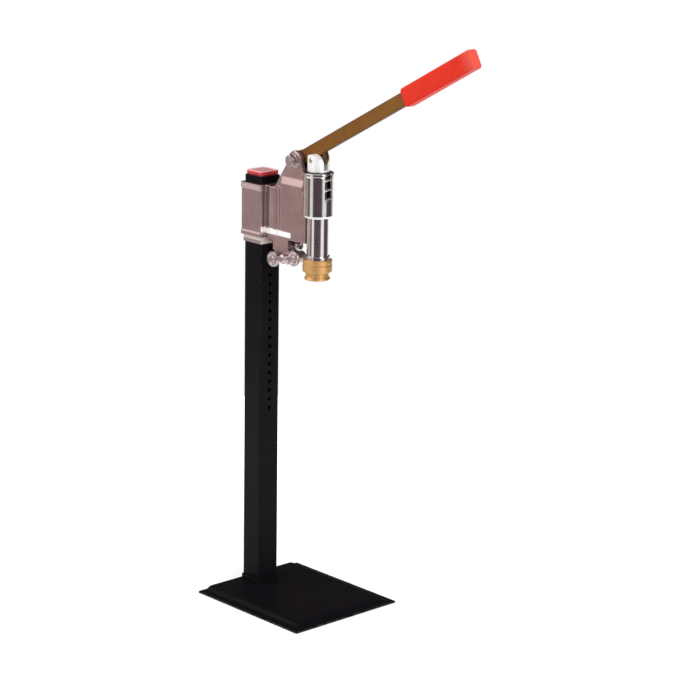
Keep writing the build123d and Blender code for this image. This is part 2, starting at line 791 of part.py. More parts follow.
# Capping bell, turned, and the ring that locks it on the plunger
with BuildPart() as capping_bell:
    throat_radius = holder_radius + holder_radial_play
    groove_low = (bell_bottom + bell_top) / 2 + bell_groove_height / 2
    with BuildSketch(plane_at_y(plunger_y)):
        Polygon(
            (bell_mouth_radius, bell_bottom),
            (bell_radius - bell_edge, bell_bottom),
            (bell_radius, bell_bottom + bell_edge),
            (bell_radius, groove_low),
            (bell_radius - bell_groove_depth, groove_low + bell_groove_height / 2),
            (bell_radius, groove_low + bell_groove_height),
            (bell_radius, bell_top - bell_edge),
            (bell_radius - bell_edge, bell_top),
            (plunger_radius, bell_top),
            (plunger_radius, plunger_end),
            (throat_radius, plunger_end),
            (throat_radius, bell_bottom + bell_mouth_depth),
            (bell_mouth_radius, bell_bottom + bell_mouth_depth),
            align=None,
        )
    revolve(axis=plunger_axis)
write(capping_bell, "capping_bell")

with BuildPart() as bell_lock_ring:
    with BuildSketch(Plane.XY.offset(bell_top)):
        ring_radius = plunger_radius + lock_ring_wall
        with Locations((0, plunger_y)):
            Circle(ring_radius)
            Circle(plunger_radius, mode=Mode.SUBTRACT)
            with PolarLocations(ring_radius, 4, start_angle=15):
                Rectangle(2 * lock_ring_notch_depth, lock_ring_notch, mode=Mode.SUBTRACT)
    extrude(amount=lock_ring_height)
write(bell_lock_ring, "bell_lock_ring")

# Cap holder: a flared cup on a hollow stem that slides in the plunger
with BuildPart() as cap_holder:
    stem_inside = holder_stem_radius - holder_stem_wall
    with BuildSketch(plane_at_y(plunger_y)):
        Polygon(
            (holder_recess_radius, holder_bottom),
            (holder_flare_radius, holder_bottom),
            (holder_flare_radius, holder_bottom + holder_flare_height / 2),
            (holder_radius, holder_bottom + holder_flare_height),
            (holder_radius, holder_top),
            (holder_stem_radius, holder_top),
            (holder_stem_radius, stem_top),
            (stem_inside, stem_top),
            (stem_inside, holder_top + holder_stem_floor),
            (0, holder_top + holder_stem_floor),
            (0, holder_roof + magnet_pocket_depth),
            (magnet_radius, holder_roof + magnet_pocket_depth),
            (magnet_radius, holder_roof),
            (holder_recess_radius, holder_roof),
            align=None,
        )
    revolve(axis=plunger_axis)
    slot_width_here = keeper_screw_diameter + 2 * keeper_slot_play
    with BuildSketch(keeper_plane):
        with Locations((-holder_travel / 2, 0)):
            Rectangle(slot_width_here + holder_travel, slot_width_here)
    extrude(amount=2 * plunger_radius, mode=Mode.SUBTRACT)
write(cap_holder, "cap_holder")

with BuildPart() as cap_magnet:
    with BuildSketch(Plane.XY.offset(holder_roof + magnet_pocket_depth - magnet_thickness)):
        with Locations((0, plunger_y)):
            Circle(magnet_radius)
    extrude(amount=magnet_thickness)
write(cap_magnet, "cap_magnet")

with BuildPart() as keeper_screw:
    keeper_tip = holder_stem_radius - keeper_reach
    with BuildSketch(keeper_plane.offset(keeper_tip)):
        Circle(keeper_screw_diameter / 2)
    extrude(amount=plunger_radius - 0.4 - keeper_tip)
    with BuildSketch(keeper_plane.offset(plunger_radius - 0.4 - block_screw_socket_depth)):
        RegularPolygon(keeper_screw_diameter / 4, 6, major_radius=False)
    extrude(amount=block_screw_socket_depth, mode=Mode.SUBTRACT)
write(keeper_screw, "keeper_screw")

coil(
    "holder_spring",
    holder_stem_radius - holder_stem_wall - holder_spring_play - holder_spring_wire / 2,
    holder_spring_wire,
    holder_top + holder_stem_floor + end_play,
    holder_bore_roof - end_play,
    holder_spring_turns,
)

# Lever: a flat bar whose lobe carries the cam slot for the fork pin
bar_end = lever_length - grip_end_wall
grip_start = lever_length - grip_length
with BuildPart() as lever_bar:
    with BuildSketch(lever_plane):
        Circle(lever_root_radius)
        with Locations((bar_end / 2, 0)):
            Rectangle(bar_end, lever_width)
    with BuildSketch(lever_plane):
        with Locations((slot_start, slot_middle), (slot_end, slot_middle)):
            Circle(slot_width / 2 + lobe_wall)
        with Locations(((lobe_root + lobe_nose) / 2, 0)):
            Rectangle(lobe_nose - lobe_root, lever_width)
        make_hull()
    extrude(amount=lever_thickness / 2, both=True)
    with BuildSketch(lever_plane):
        Circle(pivot_bolt_diameter / 2 + running_play + pivot_bush_wall)
        with Locations(((slot_start + slot_end) / 2, slot_middle)):
            SlotCenterToCenter(slot_end - slot_start, slot_width)
    extrude(amount=lever_thickness, both=True, mode=Mode.SUBTRACT)
write(lever_bar, "lever_bar")

with BuildPart() as lever_grip:
    with BuildSketch(lever_plane):
        with Locations(((grip_start + lever_length) / 2, 0)):
            RectangleRounded(grip_length, grip_height, grip_corner_radius)
    extrude(amount=grip_thickness / 2, both=True)
    side_edges = lever_grip.faces().filter_by(Axis.X).edges()
    fillet(side_edges, radius=grip_end_radius)
    with BuildSketch(lever_plane):
        with Locations(((grip_start + bar_end) / 2, 0)):
            Rectangle(bar_end - grip_start, lever_width)
    extrude(amount=lever_thickness / 2, both=True, mode=Mode.SUBTRACT)
write(lever_grip, "lever_grip")

with BuildPart() as pivot_bush:
    with BuildSketch(lever_plane):
        Circle(pivot_bolt_diameter / 2 + running_play + pivot_bush_wall)
        Circle(pivot_bolt_diameter / 2 + running_play, mode=Mode.SUBTRACT)
    extrude(amount=lever_thickness / 2 + spacer_thickness, both=True)
write(pivot_bush, "pivot_bush")

with BuildPart() as lever_spacers:
    for start in (lever_thickness / 2, -lever_thickness / 2 - spacer_thickness):
        with BuildSketch(lever_plane.offset(start)):
            Circle(spacer_radius)
            Circle(
                pivot_bolt_diameter / 2 + running_play + pivot_bush_wall, mode=Mode.SUBTRACT
            )
        extrude(amount=spacer_thickness)
write(lever_spacers, "lever_spacers")

# Pivot bolt with its washers and nut
boss_face = ear_half + ear_boss_proud
washer_face = boss_face + pivot_washer_thickness
with BuildPart() as pivot_bolt:
    with BuildSketch(Plane.YZ.offset(-washer_face - pivot_bolt_head)):
        with Locations((pivot_y, pivot_z)):
            RegularPolygon(pivot_bolt_across / 2, 6, major_radius=False)
    extrude(amount=pivot_bolt_head)
    with BuildSketch(Plane.YZ.offset(-washer_face)):
        with Locations((pivot_y, pivot_z)):
            Circle(pivot_bolt_diameter / 2)
    extrude(amount=2 * washer_face + pivot_nut_height + pivot_bolt_end)
write(pivot_bolt, "pivot_bolt")

with BuildPart() as pivot_washers:
    for start in (-washer_face, boss_face):
        with BuildSketch(Plane.YZ.offset(start)):
            with Locations((pivot_y, pivot_z)):
                Circle(pivot_washer_radius)
                Circle(pivot_bolt_diameter / 2, mode=Mode.SUBTRACT)
        extrude(amount=pivot_washer_thickness)
write(pivot_washers, "pivot_washers")

with BuildPart() as pivot_nut:
    with BuildSketch(Plane.YZ.offset(washer_face)):
        with Locations((pivot_y, pivot_z)):
            RegularPolygon(pivot_bolt_across / 2, 6, major_radius=False)
            Circle(pivot_bolt_diameter / 2, mode=Mode.SUBTRACT)
    extrude(amount=pivot_nut_height)
write(pivot_nut, "pivot_nut")
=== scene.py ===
import math

import bmesh
import bpy
from mathutils import Matrix, Vector


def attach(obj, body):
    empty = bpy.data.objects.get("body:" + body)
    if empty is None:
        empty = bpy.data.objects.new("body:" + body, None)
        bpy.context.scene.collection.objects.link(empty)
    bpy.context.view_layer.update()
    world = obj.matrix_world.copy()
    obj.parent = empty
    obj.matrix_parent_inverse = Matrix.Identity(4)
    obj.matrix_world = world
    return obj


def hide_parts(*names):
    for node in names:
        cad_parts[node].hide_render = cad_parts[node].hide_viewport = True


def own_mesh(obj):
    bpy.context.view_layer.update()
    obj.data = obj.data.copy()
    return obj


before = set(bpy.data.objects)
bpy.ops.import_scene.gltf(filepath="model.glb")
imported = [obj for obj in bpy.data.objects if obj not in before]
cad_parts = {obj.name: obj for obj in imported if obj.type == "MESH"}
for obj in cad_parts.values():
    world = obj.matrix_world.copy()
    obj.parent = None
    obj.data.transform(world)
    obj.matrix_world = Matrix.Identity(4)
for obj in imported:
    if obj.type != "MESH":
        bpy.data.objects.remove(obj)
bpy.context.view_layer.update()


# The bench top and the air around it. A round pale board takes the shadow and fades into the
# white behind it. Metal sees a dim room on the camera's side, with a bright window each side.
def maths(operation):
    """A method that adds a Math node for this operation."""
    return lambda self, *others: self.sum(operation, self, *others)


class Wire:
    """One socket of a node tree. Sums on it add the tree's own Math nodes."""

    __add__ = __radd__ = maths("ADD")
    __sub__ = maths("SUBTRACT")
    __mul__ = __rmul__ = maths("MULTIPLY")
    __truediv__ = maths("DIVIDE")
    __abs__ = maths("ABSOLUTE")
    largest, smallest = maths("MAXIMUM"), maths("MINIMUM")
    sine, cosine = maths("SINE"), maths("COSINE")

    def __init__(self, graph, socket):
        self.graph = graph
        self.socket = socket

    def sum(self, operation, *terms):
        return self.graph.node("ShaderNodeMath", dict(enumerate(terms)), {"operation": operation})

    def __rsub__(self, other):
        return self.sum("SUBTRACT", other, self)

    def zigzag(self):
        """Up and down between 0 and a half, once for each whole step."""
        return self.sum("PINGPONG", self, 0.5)

    def between(self, low, high, soft):
        """1 between two values and 0 outside them, with soft ends."""
        inside = self.graph.step(self, low - soft, low + soft)
        return inside * (1 - self.graph.step(self, high - soft, high + soft))

    def axis(self, name):
        return self.graph.node("ShaderNodeSeparateXYZ", {0: self}, output=name)


class Graph:
    """A node tree, and the one way in which a node is added to it."""

    def __init__(self, tree):
        self.tree = tree

    def feed(self, socket, value):
        """Link a wire to a socket, or set its own value. A colour is given as three numbers."""
        if isinstance(value, Wire):
            self.tree.links.new(value.socket, socket)
        else:
            socket.default_value = (*value, 1) if socket.type == "RGBA" else value

    def node(self, kind, sockets={}, settings={}, output=0):
        made = self.tree.nodes.new(kind)
        for name, value in settings.items():
            setattr(made, name, value)
        for name, value in sockets.items():
            self.feed(made.inputs[name], value)
        return Wire(self, made.outputs[output]) if len(made.outputs) else made

    def ray(self, kind):
        """Whether the ray that meets this place is of this kind."""
        return self.node("ShaderNodeLightPath", output=f"Is {kind} Ray")

    def mix(self, share, first, second):
        """Two colours, the second shown by this share."""
        return self.node("ShaderNodeMix", {0: share, 6: first, 7: second}, {"data_type": "RGBA"}, 2)

    def vector(self, x=0.0, y=0.0, z=0.0):
        return self.node("ShaderNodeCombineXYZ", {0: x, 1: y, 2: z})

    def step(self, value, low, high):
        """From 0 below low to 1 above high, with soft ends."""
        soft = {"interpolation_type": "SMOOTHSTEP"}
        return self.node("ShaderNodeMapRange", {0: value, 1: low, 2: high}, soft)


def link(name, data):
    """A new object in the scene that shows this mesh, lamp or lens."""
    made = bpy.data.objects.new(name, data)
    bpy.context.scene.collection.objects.link(made)
    return made


def polar(radius, turn, x=0.0, y=0.0):
    """The point this far out from x and y in the direction of the turn."""
    return x + radius * math.cos(turn), y + radius * math.sin(turn)


board = bpy.data.materials.new("matt_board")
board.use_nodes = True
paper = Graph(board.node_tree)
paper.tree.nodes.clear()
seen = paper.ray("Camera").largest(paper.ray("Glossy")).largest(paper.ray("Transmission"))
spot = paper.node("ShaderNodeNewGeometry")
from_middle = paper.node("ShaderNodeVectorMath", {0: spot}, {"operation": "LENGTH"}, "Value")
board_radius = 0.9
shadow_reach, fade_end = 0.2, 0.75
fade = paper.step(from_middle, shadow_reach, fade_end)
matt = paper.node("ShaderNodeBsdfDiffuse", {"Color": (0.86, 0.86, 0.86)})
glow = paper.node("ShaderNodeEmission", {"Strength": seen * (0.3 + fade)})
both = paper.node("ShaderNodeAddShader", {0: matt, 1: glow})
paper.node("ShaderNodeOutputMaterial", {"Surface": both})
floor_mesh = bpy.data.meshes.new("bench_top")
under_feet = -0.0002
edge = [(*polar(board_radius, math.radians(i * 3)), under_feet) for i in range(120)]
floor_mesh.from_pydata(edge, [], [tuple(range(len(edge)))])
floor_mesh.materials.append(board)
link("bench_top", floor_mesh)

view_azimuth = math.radians(-42.722)
sin_a, cos_a = math.sin(view_azimuth), math.cos(view_azimuth)
sky = bpy.data.worlds.new("room")
bpy.context.scene.world = sky
sky.use_nodes = True
air = Graph(sky.node_tree)
air.tree.nodes.clear()
direction = air.node("ShaderNodeTexCoord", output="Generated")
facing = direction.axis("X") * sin_a - direction.axis("Y") * cos_a
sideways = direction.axis("X") * cos_a + direction.axis("Y") * sin_a
height = direction.axis("Z")
bearing = facing.sum("ARCTAN2", sideways, facing)
left_window = bearing.between(-1.13, -0.71, 0.05)
right_window = bearing.between(0.59, 1.16, 0.06)
windows = (left_window + right_window) * (1 - air.step(abs(height), 0.6, 0.85))
left_wall = bearing.between(-2.3, -1.42, 0.17)
room = air.mix(left_wall, (0.105, 0.075, 0.088), (0.54, 0.42, 0.39))
behind = (1 - air.step(facing, -0.85, -0.4)) * (1 - air.step(height, -0.05, 0.1))
mirrored = air.mix(behind.largest(windows), room, (1.15, 1.15, 1.15))
soft_light = (0.52, 0.52, 0.52)
lit = air.mix(air.ray("Glossy"), soft_light, mirrored)
straight = air.ray("Camera").largest(air.ray("Transmission"))
backdrop = air.node("ShaderNodeBackground", {"Color": air.mix(straight, lit, (1, 1, 1))})
air.node("ShaderNodeOutputWorld", {"Surface": backdrop})


def softbox(name, power, across, upright, place, target):
    """A rectangular lamp at a place, turned towards a target."""
    lamp = bpy.data.lights.new(name, "AREA")
    lamp.shape = "RECTANGLE"
    lamp.size = across
    lamp.size_y = upright
    lamp.energy = power
    stand = link(name, lamp)
    stand.location = place
    stand.rotation_mode = "QUATERNION"
    stand.rotation_quaternion = (Vector(target) - Vector(place)).to_track_quat("-Z", "Y")


softbox("left_box", 29, 1.8, 1.9, (-1.75, 1.25, 1.45), (0, 0, 0.4))
softbox("front_box", 30, 0.9, 1.9, (-0.2, -2.3, 1.2), (0, 0, 0.35))
softbox("top_box", 9, 1.2, 1.2, (-0.3, -0.2, 2.3), (0, 0, 0.3))

# The camera stands where the photograph's did, level with the head and a little above it.
# Its place, lean and lens come from lines of the object that were fitted to the picture.
view_elevation = math.radians(14.408)
view_roll = math.radians(0.863)
view_distance = 2.854465
aim = Vector((0.065166, 0, 0.311255))
sin_p, cos_p = math.sin(view_elevation), math.cos(view_elevation)
back = Vector((sin_a * cos_p, -cos_a * cos_p, sin_p))
right = Vector((cos_a, sin_a, 0))
upward = back.cross(right)
leaned_right = right * math.cos(view_roll) + upward * math.sin(view_roll)
leaned_up = upward * math.cos(view_roll) - right * math.sin(view_roll)
lens = bpy.data.cameras.new("camera")
lens.sensor_width = 36
lens.lens = 126.35
lens.clip_start = 0.1
lens.clip_end = 100
camera = link("camera", lens)
camera.matrix_world = Matrix.Translation(aim + back * view_distance) @ Matrix(
    (leaned_right, leaned_up, back)
).transposed().to_4x4()
bpy.context.scene.camera = camera
bpy.context.scene.view_settings.view_transform = "Standard"

# The base plate: 2 mm steel sheet with a flange all round and a raised middle, pressed in
# one stroke, so every bend is rounded. Its black enamel has gone dull.
MM = 0.001


def softened(path, radius, steps=4):
    """A line of points whose corners are rounded. A point may carry its own radius."""
    rounded = [Vector(path[0][:2])]
    for before, corner, after in zip(path, path[1:], path[2:]):
        size = corner[2] if len(corner) > 2 else radius
        middle = Vector(corner[:2])
        inward = Vector(before[:2]) - middle
        onward = Vector(after[:2]) - middle
        cut_back = min(size, inward.length * 0.45, onward.length * 0.45)
        start = middle + inward.normalized() * cut_back
        end = middle + onward.normalized() * cut_back
        for i in range(steps + 1):
            t = i / steps
            rounded.append(start * (1 - t) ** 2 + middle * 2 * t * (1 - t) + end * t * t)
    rounded.append(Vector(path[-1][:2]))
    return rounded


def rectangle_ring(low, high, radius, z, steps=6):
    """Points round a rectangle with round corners, at one height."""
    ring = []
    corners = ((high[0], high[1], 0), (low[0], high[1], 1), (low[0], low[1], 2), (high[0], low[1], 3))
    for x, y, quarter in corners:
        inside_x = x - math.copysign(radius, x - (low[0] + high[0]) / 2)
        inside_y = y - math.copysign(radius, y - (low[1] + high[1]) / 2)
        for i in range(steps + 1):
            turn = math.pi / 2 * (quarter + i / steps)
            ring.append((*polar(radius, turn, inside_x, inside_y), z))
    return ring


def lofted(name, rings, wrap=False):
    """A closed skin over rings of points in millimetres. A ring of one point is a pole."""
    work = bmesh.new()
    rows = [[work.verts.new(Vector(point) * MM) for point in ring] for ring in rings]
    pairs = list(zip(rows, rows[1:]))
    if wrap:
        pairs.append((rows[-1], rows[0]))
    for lower, upper in pairs:
        count = max(len(lower), len(upper))
        for i in range(count):
            j = (i + 1) % count
            if len(lower) == 1:
                work.faces.new((lower[0], upper[j], upper[i]))
            elif len(upper) == 1:
                work.faces.new((lower[i], lower[j], upper[0]))
            else:
                work.faces.new((lower[i], lower[j], upper[j], upper[i]))
    for row in () if wrap else (rows[0], rows[-1]):
        if len(row) > 1:
            work.faces.new(row)
    bmesh.ops.remove_doubles(work, verts=work.verts, dist=1e-7)
    bmesh.ops.recalc_face_normals(work, faces=work.faces)
    mesh = bpy.data.meshes.new(name)
    work.to_mesh(mesh)
    work.free()
    return link(name, mesh)


def settled(piece):
    """Turn a piece's modifiers into plain mesh and take them off."""
    result = piece.evaluated_get(bpy.context.evaluated_depsgraph_get())
    mesh = bpy.data.meshes.new_from_object(result)
    old = piece.data
    piece.modifiers.clear()
    piece.data = mesh
    mesh.name = piece.name
    bpy.data.meshes.remove(old)
    return piece


def moved(piece, place, turn=None):
    """Turn a piece about the origin by this matrix and then move it, in millimetres."""
    shift = Matrix.Translation([length * MM for length in place])
    piece.data.transform(shift @ Matrix(turn).to_4x4() if turn else shift)
    return piece


def fitted(piece, body, finish, slot, *nodes, sharp=38):
    """Give a finished piece its material and its body, and hide the solids it stands for."""
    piece.data.materials.clear()
    piece.data.materials.append(finish)
    piece.data.shade_smooth()
    piece.data.set_sharp_from_angle(angle=math.radians(sharp))
    weighted = piece.modifiers.new("flat_faces", "WEIGHTED_NORMAL")
    weighted.keep_sharp = True
    settled(piece)
    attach(piece, body)
    if nodes:
        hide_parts(*nodes)


class Finish(Graph):
    """A material whose patterns lie on the object's own coordinates, in metres."""

    def __init__(self, name):
        self.material = bpy.data.materials.new(name)
        self.material.use_nodes = True
        super().__init__(self.material.node_tree)
        self.shader = self.tree.nodes["Principled BSDF"]
        self.place = self.node("ShaderNodeTexCoord", output="Object")

    def noise(self, size, detail=2.0, stretch=(1, 1, 1), turn=(0, 0, 0)):
        """Cloudy noise whose lumps are about this many metres across."""
        laid = {"Vector": self.place, "Rotation": turn, "Scale": stretch}
        where = self.node("ShaderNodeMapping", laid)
        sizes = {"Vector": where, "Scale": 1 / size, "Detail": detail}
        return self.node("ShaderNodeTexNoise", sizes)

    def bump(self, height, depth):
        """A normal for lumps this many metres deep."""
        return self.node("ShaderNodeBump", {"Height": height, "Distance": depth})

    def made(self, **sockets):
        """Set the shader's sockets, named with underscores, and give the material."""
        for name, value in sockets.items():
            self.feed(self.shader.inputs[name.replace("_", " ")], value)
        return self.material


def black_enamel(name, wear):
    """Dipped enamel gone dull, with orange peel. Wear masks the rubbed places, 0 to 1."""
    paint = Finish(name)
    peel = paint.noise(0.0016, 1.0)
    haze = paint.noise(0.035, 3.0)
    rubbed = wear(paint) * paint.step(paint.noise(0.003, 4.0), 0.42, 0.62)
    colour = paint.mix(haze, (0.0035, 0.003, 0.0042), (0.0085, 0.0072, 0.0095))
    return paint.made(
        Base_Color=paint.mix(rubbed, colour, (0.045, 0.04, 0.045)),
        Roughness=0.36 + haze * 0.14 + rubbed * 0.1,
        Specular_IOR_Level=0.04,
        Normal=paint.bump(peel, 0.00006),
    )


base_low, base_high = (-80.0, -90.0), (80.0, 90.0)
sheet_section = [
    (17, 5), (15, 5, 2), (11, 0, 1), (0, 0, 0.6), (0, 2, 0.6), (9, 2, 2.5), (13, 7, 3), (17, 7),
]


def rear_inset(inset):
    """How far in the plate's rear side stands, where its flange and slope are narrower."""
    return inset * 2 / 9 if inset < 9 else 2 + (inset - 9) / 2 if inset < 13 else inset - 9


base_rings = [
    rectangle_ring(
        (base_low[0] + inset, base_low[1] + inset),
        (base_high[0] - inset, base_high[1] - rear_inset(inset)),
        1.5 + inset * 0.2,
        z,
    )
    for inset, z in softened(sheet_section, 1)
]


def base_wear(paint):
    """The plate's rim, where it is knocked and handled."""
    across = abs(paint.place.axis("X")) / 0.08
    along = abs(paint.place.axis("Y")) / 0.09
    return paint.step(across.largest(along), 0.975, 1.0)


base_enamel = black_enamel("base_enamel", base_wear)
fitted(lofted("base_plate_pressing", base_rings), "frame", base_enamel, "black_enamel", "base_plate")

# Four rubber pads under the base, dished so that they grip. One pad is turned, and a
# geometry tree sets a copy at each corner.
def turned(name, profile, centre, along=(0, 0, 1), steps=96, wrap=False):
    """A lathe shape: pairs of radius and height along an axis through the centre."""
    axis = Vector(along)
    start = axis.orthogonal().normalized()
    side = axis.cross(start)
    rings = []
    for radius, height in profile:
        middle = Vector(centre) + axis * height
        if radius < 1e-6:
            rings.append([middle])
            continue
        turns = [2 * math.pi * i / steps for i in range(steps)]
        rings.append([middle + (start * math.cos(t) + side * math.sin(t)) * radius for t in turns])
    return lofted(name, rings, wrap)


class Recipe(Graph):
    """A geometry tree with named sizes, in metres or whole counts."""

    def __init__(self, name, **sizes):
        super().__init__(bpy.data.node_groups.new(name, "GeometryNodeTree"))
        face = self.tree.interface
        face.new_socket("Geometry", in_out="OUTPUT", socket_type="NodeSocketGeometry")
        face.new_socket("Geometry", in_out="INPUT", socket_type="NodeSocketGeometry")
        face.new_socket("Finish", in_out="INPUT", socket_type="NodeSocketMaterial")
        for label, value in sizes.items():
            kind = "NodeSocketInt" if isinstance(value, int) else "NodeSocketFloat"
            face.new_socket(label, in_out="INPUT", socket_type=kind).default_value = value
        given = self.tree.nodes.new("NodeGroupInput")
        self.given = {socket.name: Wire(self, socket) for socket in given.outputs if socket.name}

    def geometry(self, kind, sockets={}, settings={}):
        return self.node("GeometryNode" + kind, sockets, settings)

    def ends(self, shape):
        """Make instances real, set the finish, and let the tree give this shape."""
        real = self.geometry("RealizeInstances", {0: shape})
        coated = self.geometry("SetMaterial", {"Geometry": real, "Material": self.given["Finish"]})
        self.node("NodeGroupOutput", {"Geometry": coated})

    def sheet(self, around, along):
        """A sheet to roll up, and the share of the way round and along it of each point."""
        counts = {"Size X": 1.0, "Size Y": 1.0, "Vertices X": around, "Vertices Y": along}
        spot = self.node("GeometryNodeInputPosition")
        return self.geometry("MeshGrid", counts), spot.axis("X") + 0.5, spot.axis("Y") + 0.5

    def roll_up(self, sheet, places):
        """Move the sheet's points to their places, close its seam and add the piece itself."""
        wrapped = self.geometry("SetPosition", {"Geometry": sheet, "Position": places})
        closed = self.geometry("MergeByDistance", {"Geometry": wrapped, "Distance": 1e-6})
        both = self.geometry("JoinGeometry", {"Geometry": closed})
        self.feed(both.socket.node.inputs[0], self.given["Geometry"])
        self.ends(both)

    def run(self, piece, finish, **sizes):
        """Grow the tree on a piece and keep the result as its mesh."""
        grown = piece.modifiers.new("recipe", "NODES")
        grown.node_group = self.tree
        sizes["Finish"] = finish
        for item in self.tree.interface.items_tree:
            if item.in_out == "INPUT" and item.name in sizes:
                grown[item.identifier] = sizes[item.name]
        return settled(piece)


copies = Recipe("copies_on_a_grid", CountX=2, CountY=1, SpanX=0.1, SpanY=0.0)
grid_sizes = {"Size X": "SpanX", "Size Y": "SpanY", "Vertices X": "CountX", "Vertices Y": "CountY"}
grid = copies.geometry("MeshGrid", {name: copies.given[size] for name, size in grid_sizes.items()})
spread = copies.geometry("InstanceOnPoints", {"Points": grid, "Instance": copies.given["Geometry"]})
copies.ends(spread)


def clouded(name, noise, dark, light, rough, spread, metallic=0.0, depth=0.0):
    """A plain finish. One noise changes its colour and roughness, and may roughen its skin."""
    plain = Finish(name)
    cloud = plain.noise(*noise)
    if depth:
        plain.made(Normal=plain.bump(cloud, depth))
    return plain.made(
        Base_Color=plain.mix(cloud, dark, light), Metallic=metallic, Roughness=rough + cloud * spread
    )


rubber_finish = clouded(
    "pad_rubber", (0.0009, 2.0), (0.012, 0.012, 0.012), (0.03, 0.03, 0.03),
    rough=0.75, spread=0.2, depth=0.0001,
)
pad_profile = softened(
    [(0, 0.6), (4, 0.6), (5.5, 0), (8.2, 0), (9, 1.4), (9, 4.6), (8.6, 5), (0, 5)], 0.4
)
pads = turned("base_feet_pads", pad_profile, (0, 0, 0), steps=48)
copies.run(pads, rubber_finish, CountY=2, SpanX=90 * MM, SpanY=110 * MM)
fitted(pads, "frame", rubber_finish, "rubber", "base_feet")

# Two M6 bolts come up through the plate into the plug in the column's foot. Their heads
# sit under the raised middle. They are zinc plated.
def hexagon_ring(across, height, most=1e9, steps=72):
    """Radius, turn and height for each step round a hexagon, no further out than most."""
    ring = []
    for i in range(steps):
        turn = 2 * math.pi * i / steps
        reach = across / 2 / math.cos((turn + math.pi / 6) % (math.pi / 3) - math.pi / 6)
        ring.append((min(reach, most), turn, height))
    return ring


def standing(rings):
    """Rings of radius, turn and height as points about an upright axis."""
    return [[(*polar(radius, turn), z) for radius, turn, z in ring] for ring in rings]


def round_ring(radius, height):
    """A round ring with as many steps as a hexagon's."""
    return hexagon_ring(math.inf, height, most=radius)


def chamfered_hexagon(across, low, high):
    """Rings of a hexagon whose corners are turned off at the high end."""
    flat = across / 2 * 0.97
    rings = [hexagon_ring(across, low)]
    for share in (1.0, 0.66, 0.33):
        out = flat + (across / 2 / math.cos(math.pi / 6) - flat) * share
        drop = (out - flat) * math.tan(math.radians(30))
        rings.append(hexagon_ring(across, high - drop, most=out))
    rings.append(round_ring(flat, high))
    return rings


def zinc_plate(name, bright=1.0):
    """Zinc plate: a warm pale grey with a faint cloud and a fine satin."""
    plate = Finish(name)
    cloud = plate.noise(0.004, 3.0)
    fine = plate.noise(0.0004, 2.0)
    dark = (0.43 * bright, 0.35 * bright, 0.355 * bright)
    light = (0.6 * bright, 0.52 * bright, 0.52 * bright)
    return plate.made(
        Base_Color=plate.mix(cloud, dark, light),
        Metallic=1.0,
        Roughness=0.26 + cloud * 0.14,
        Normal=plate.bump(fine, 0.00002),
    )


zinc = zinc_plate("zinc_plated_steel")
bolt_rings = standing(
    [[(0, 0, 1)]]
    + [[(r, t, 6 - z) for r, t, z in ring] for ring in chamfered_hexagon(10, 1, 5)][::-1]
    + [round_ring(3, 5), round_ring(3, 20.4), round_ring(2.5, 21), [(0, 0, 21)]]
)
bolts = lofted("foot_bolts_hex", bolt_rings)
copies.run(bolts, zinc, SpanX=17 * MM)
column_y = 68.0
moved(bolts, (0, column_y, 0))
fitted(bolts, "frame", zinc, "zinc_steel", "foot_bolts")

# The column: 30 mm square tube, 2 mm wall, with a row of index holes drilled in its front
# wall. It has the base's black enamel, rubbed along the corners where the head slides.
def square_ring(half, radius, z):
    """A ring round the column's own centre."""
    return rectangle_ring((-half, column_y - half), (half, column_y + half), radius, z)


holes = Recipe("index_holes", Count=20, Pitch=0.0109, Diameter=0.005, Top=0.4345, Front=0.053)
size = holes.given
drill = holes.geometry("MeshCylinder", {"Vertices": 40, "Radius": size["Diameter"] / 2, "Depth": 0.006})
level_drill = holes.geometry("Transform", {"Geometry": drill, "Rotation": (math.pi / 2, 0, 0)})
top_hole = holes.vector(y=size["Front"] + 0.001, z=size["Top"])
pitch_down = holes.vector(z=size["Pitch"] * -1)
row = holes.geometry(
    "MeshLine",
    {"Count": size["Count"], "Start Location": top_hole, "Offset": pitch_down},
    {"mode": "OFFSET"},
)
on_row = holes.geometry("InstanceOnPoints", {"Points": row, "Instance": level_drill})
drills = holes.geometry("RealizeInstances", {0: on_row})
drilled = holes.geometry(
    "MeshBoolean",
    {"Mesh 1": size["Geometry"], "Mesh 2": drills},
    {"operation": "DIFFERENCE", "solver": "EXACT"},
)
holes.ends(drilled)


def column_wear(paint):
    """The tube's four corners, and scuffs where the head has been slid up and down."""
    out_x = abs(paint.place.axis("X"))
    out_y = abs(paint.place.axis("Y") - column_y * MM)
    corner = paint.step(out_x + out_y, 0.0282, 0.0291)
    slid = paint.step(paint.place.axis("Z"), 0.22, 0.44)
    return corner * (0.35 + slid * 0.65)


column_enamel = black_enamel("column_enamel", column_wear)
tube_section = softened([(15, 7), (15, 510), (13, 510), (13, 7)], 0.35, 3)
tube_rings = [square_ring(half, 2.2 - (15 - half) * 0.85, z) for half, z in tube_section]
tube = lofted("column_tube_drilled", tube_rings, wrap=True)
index_z = 434.5
holes.run(
    tube, column_enamel, Count=20, Pitch=10.9 * MM, Diameter=5 * MM, Top=index_z * MM, Front=53 * MM
)
fitted(tube, "frame", column_enamel, "black_enamel", "column_tube", sharp=30)

# The collar round the column's foot: a pressed square ring, welded to the plate and
# enamelled with it. The steel plug inside takes the two bolts.
foot_section = softened([(15.05, 7), (17, 7, 0.2), (17, 12, 1.4), (15.05, 12, 0.3), (15.05, 7)], 0.3)
foot_rings = [square_ring(half, 2.2 + (half - 15), z) for half, z in foot_section]
foot_ring = lofted("column_foot_ring", foot_rings[:-1], wrap=True)
fitted(foot_ring, "frame", base_enamel, "black_enamel", "column_foot_collar")


def coat(node, finish):
    """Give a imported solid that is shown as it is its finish."""
    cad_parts[node].material_slots[0].material = finish


coat("column_foot_plug", zinc)

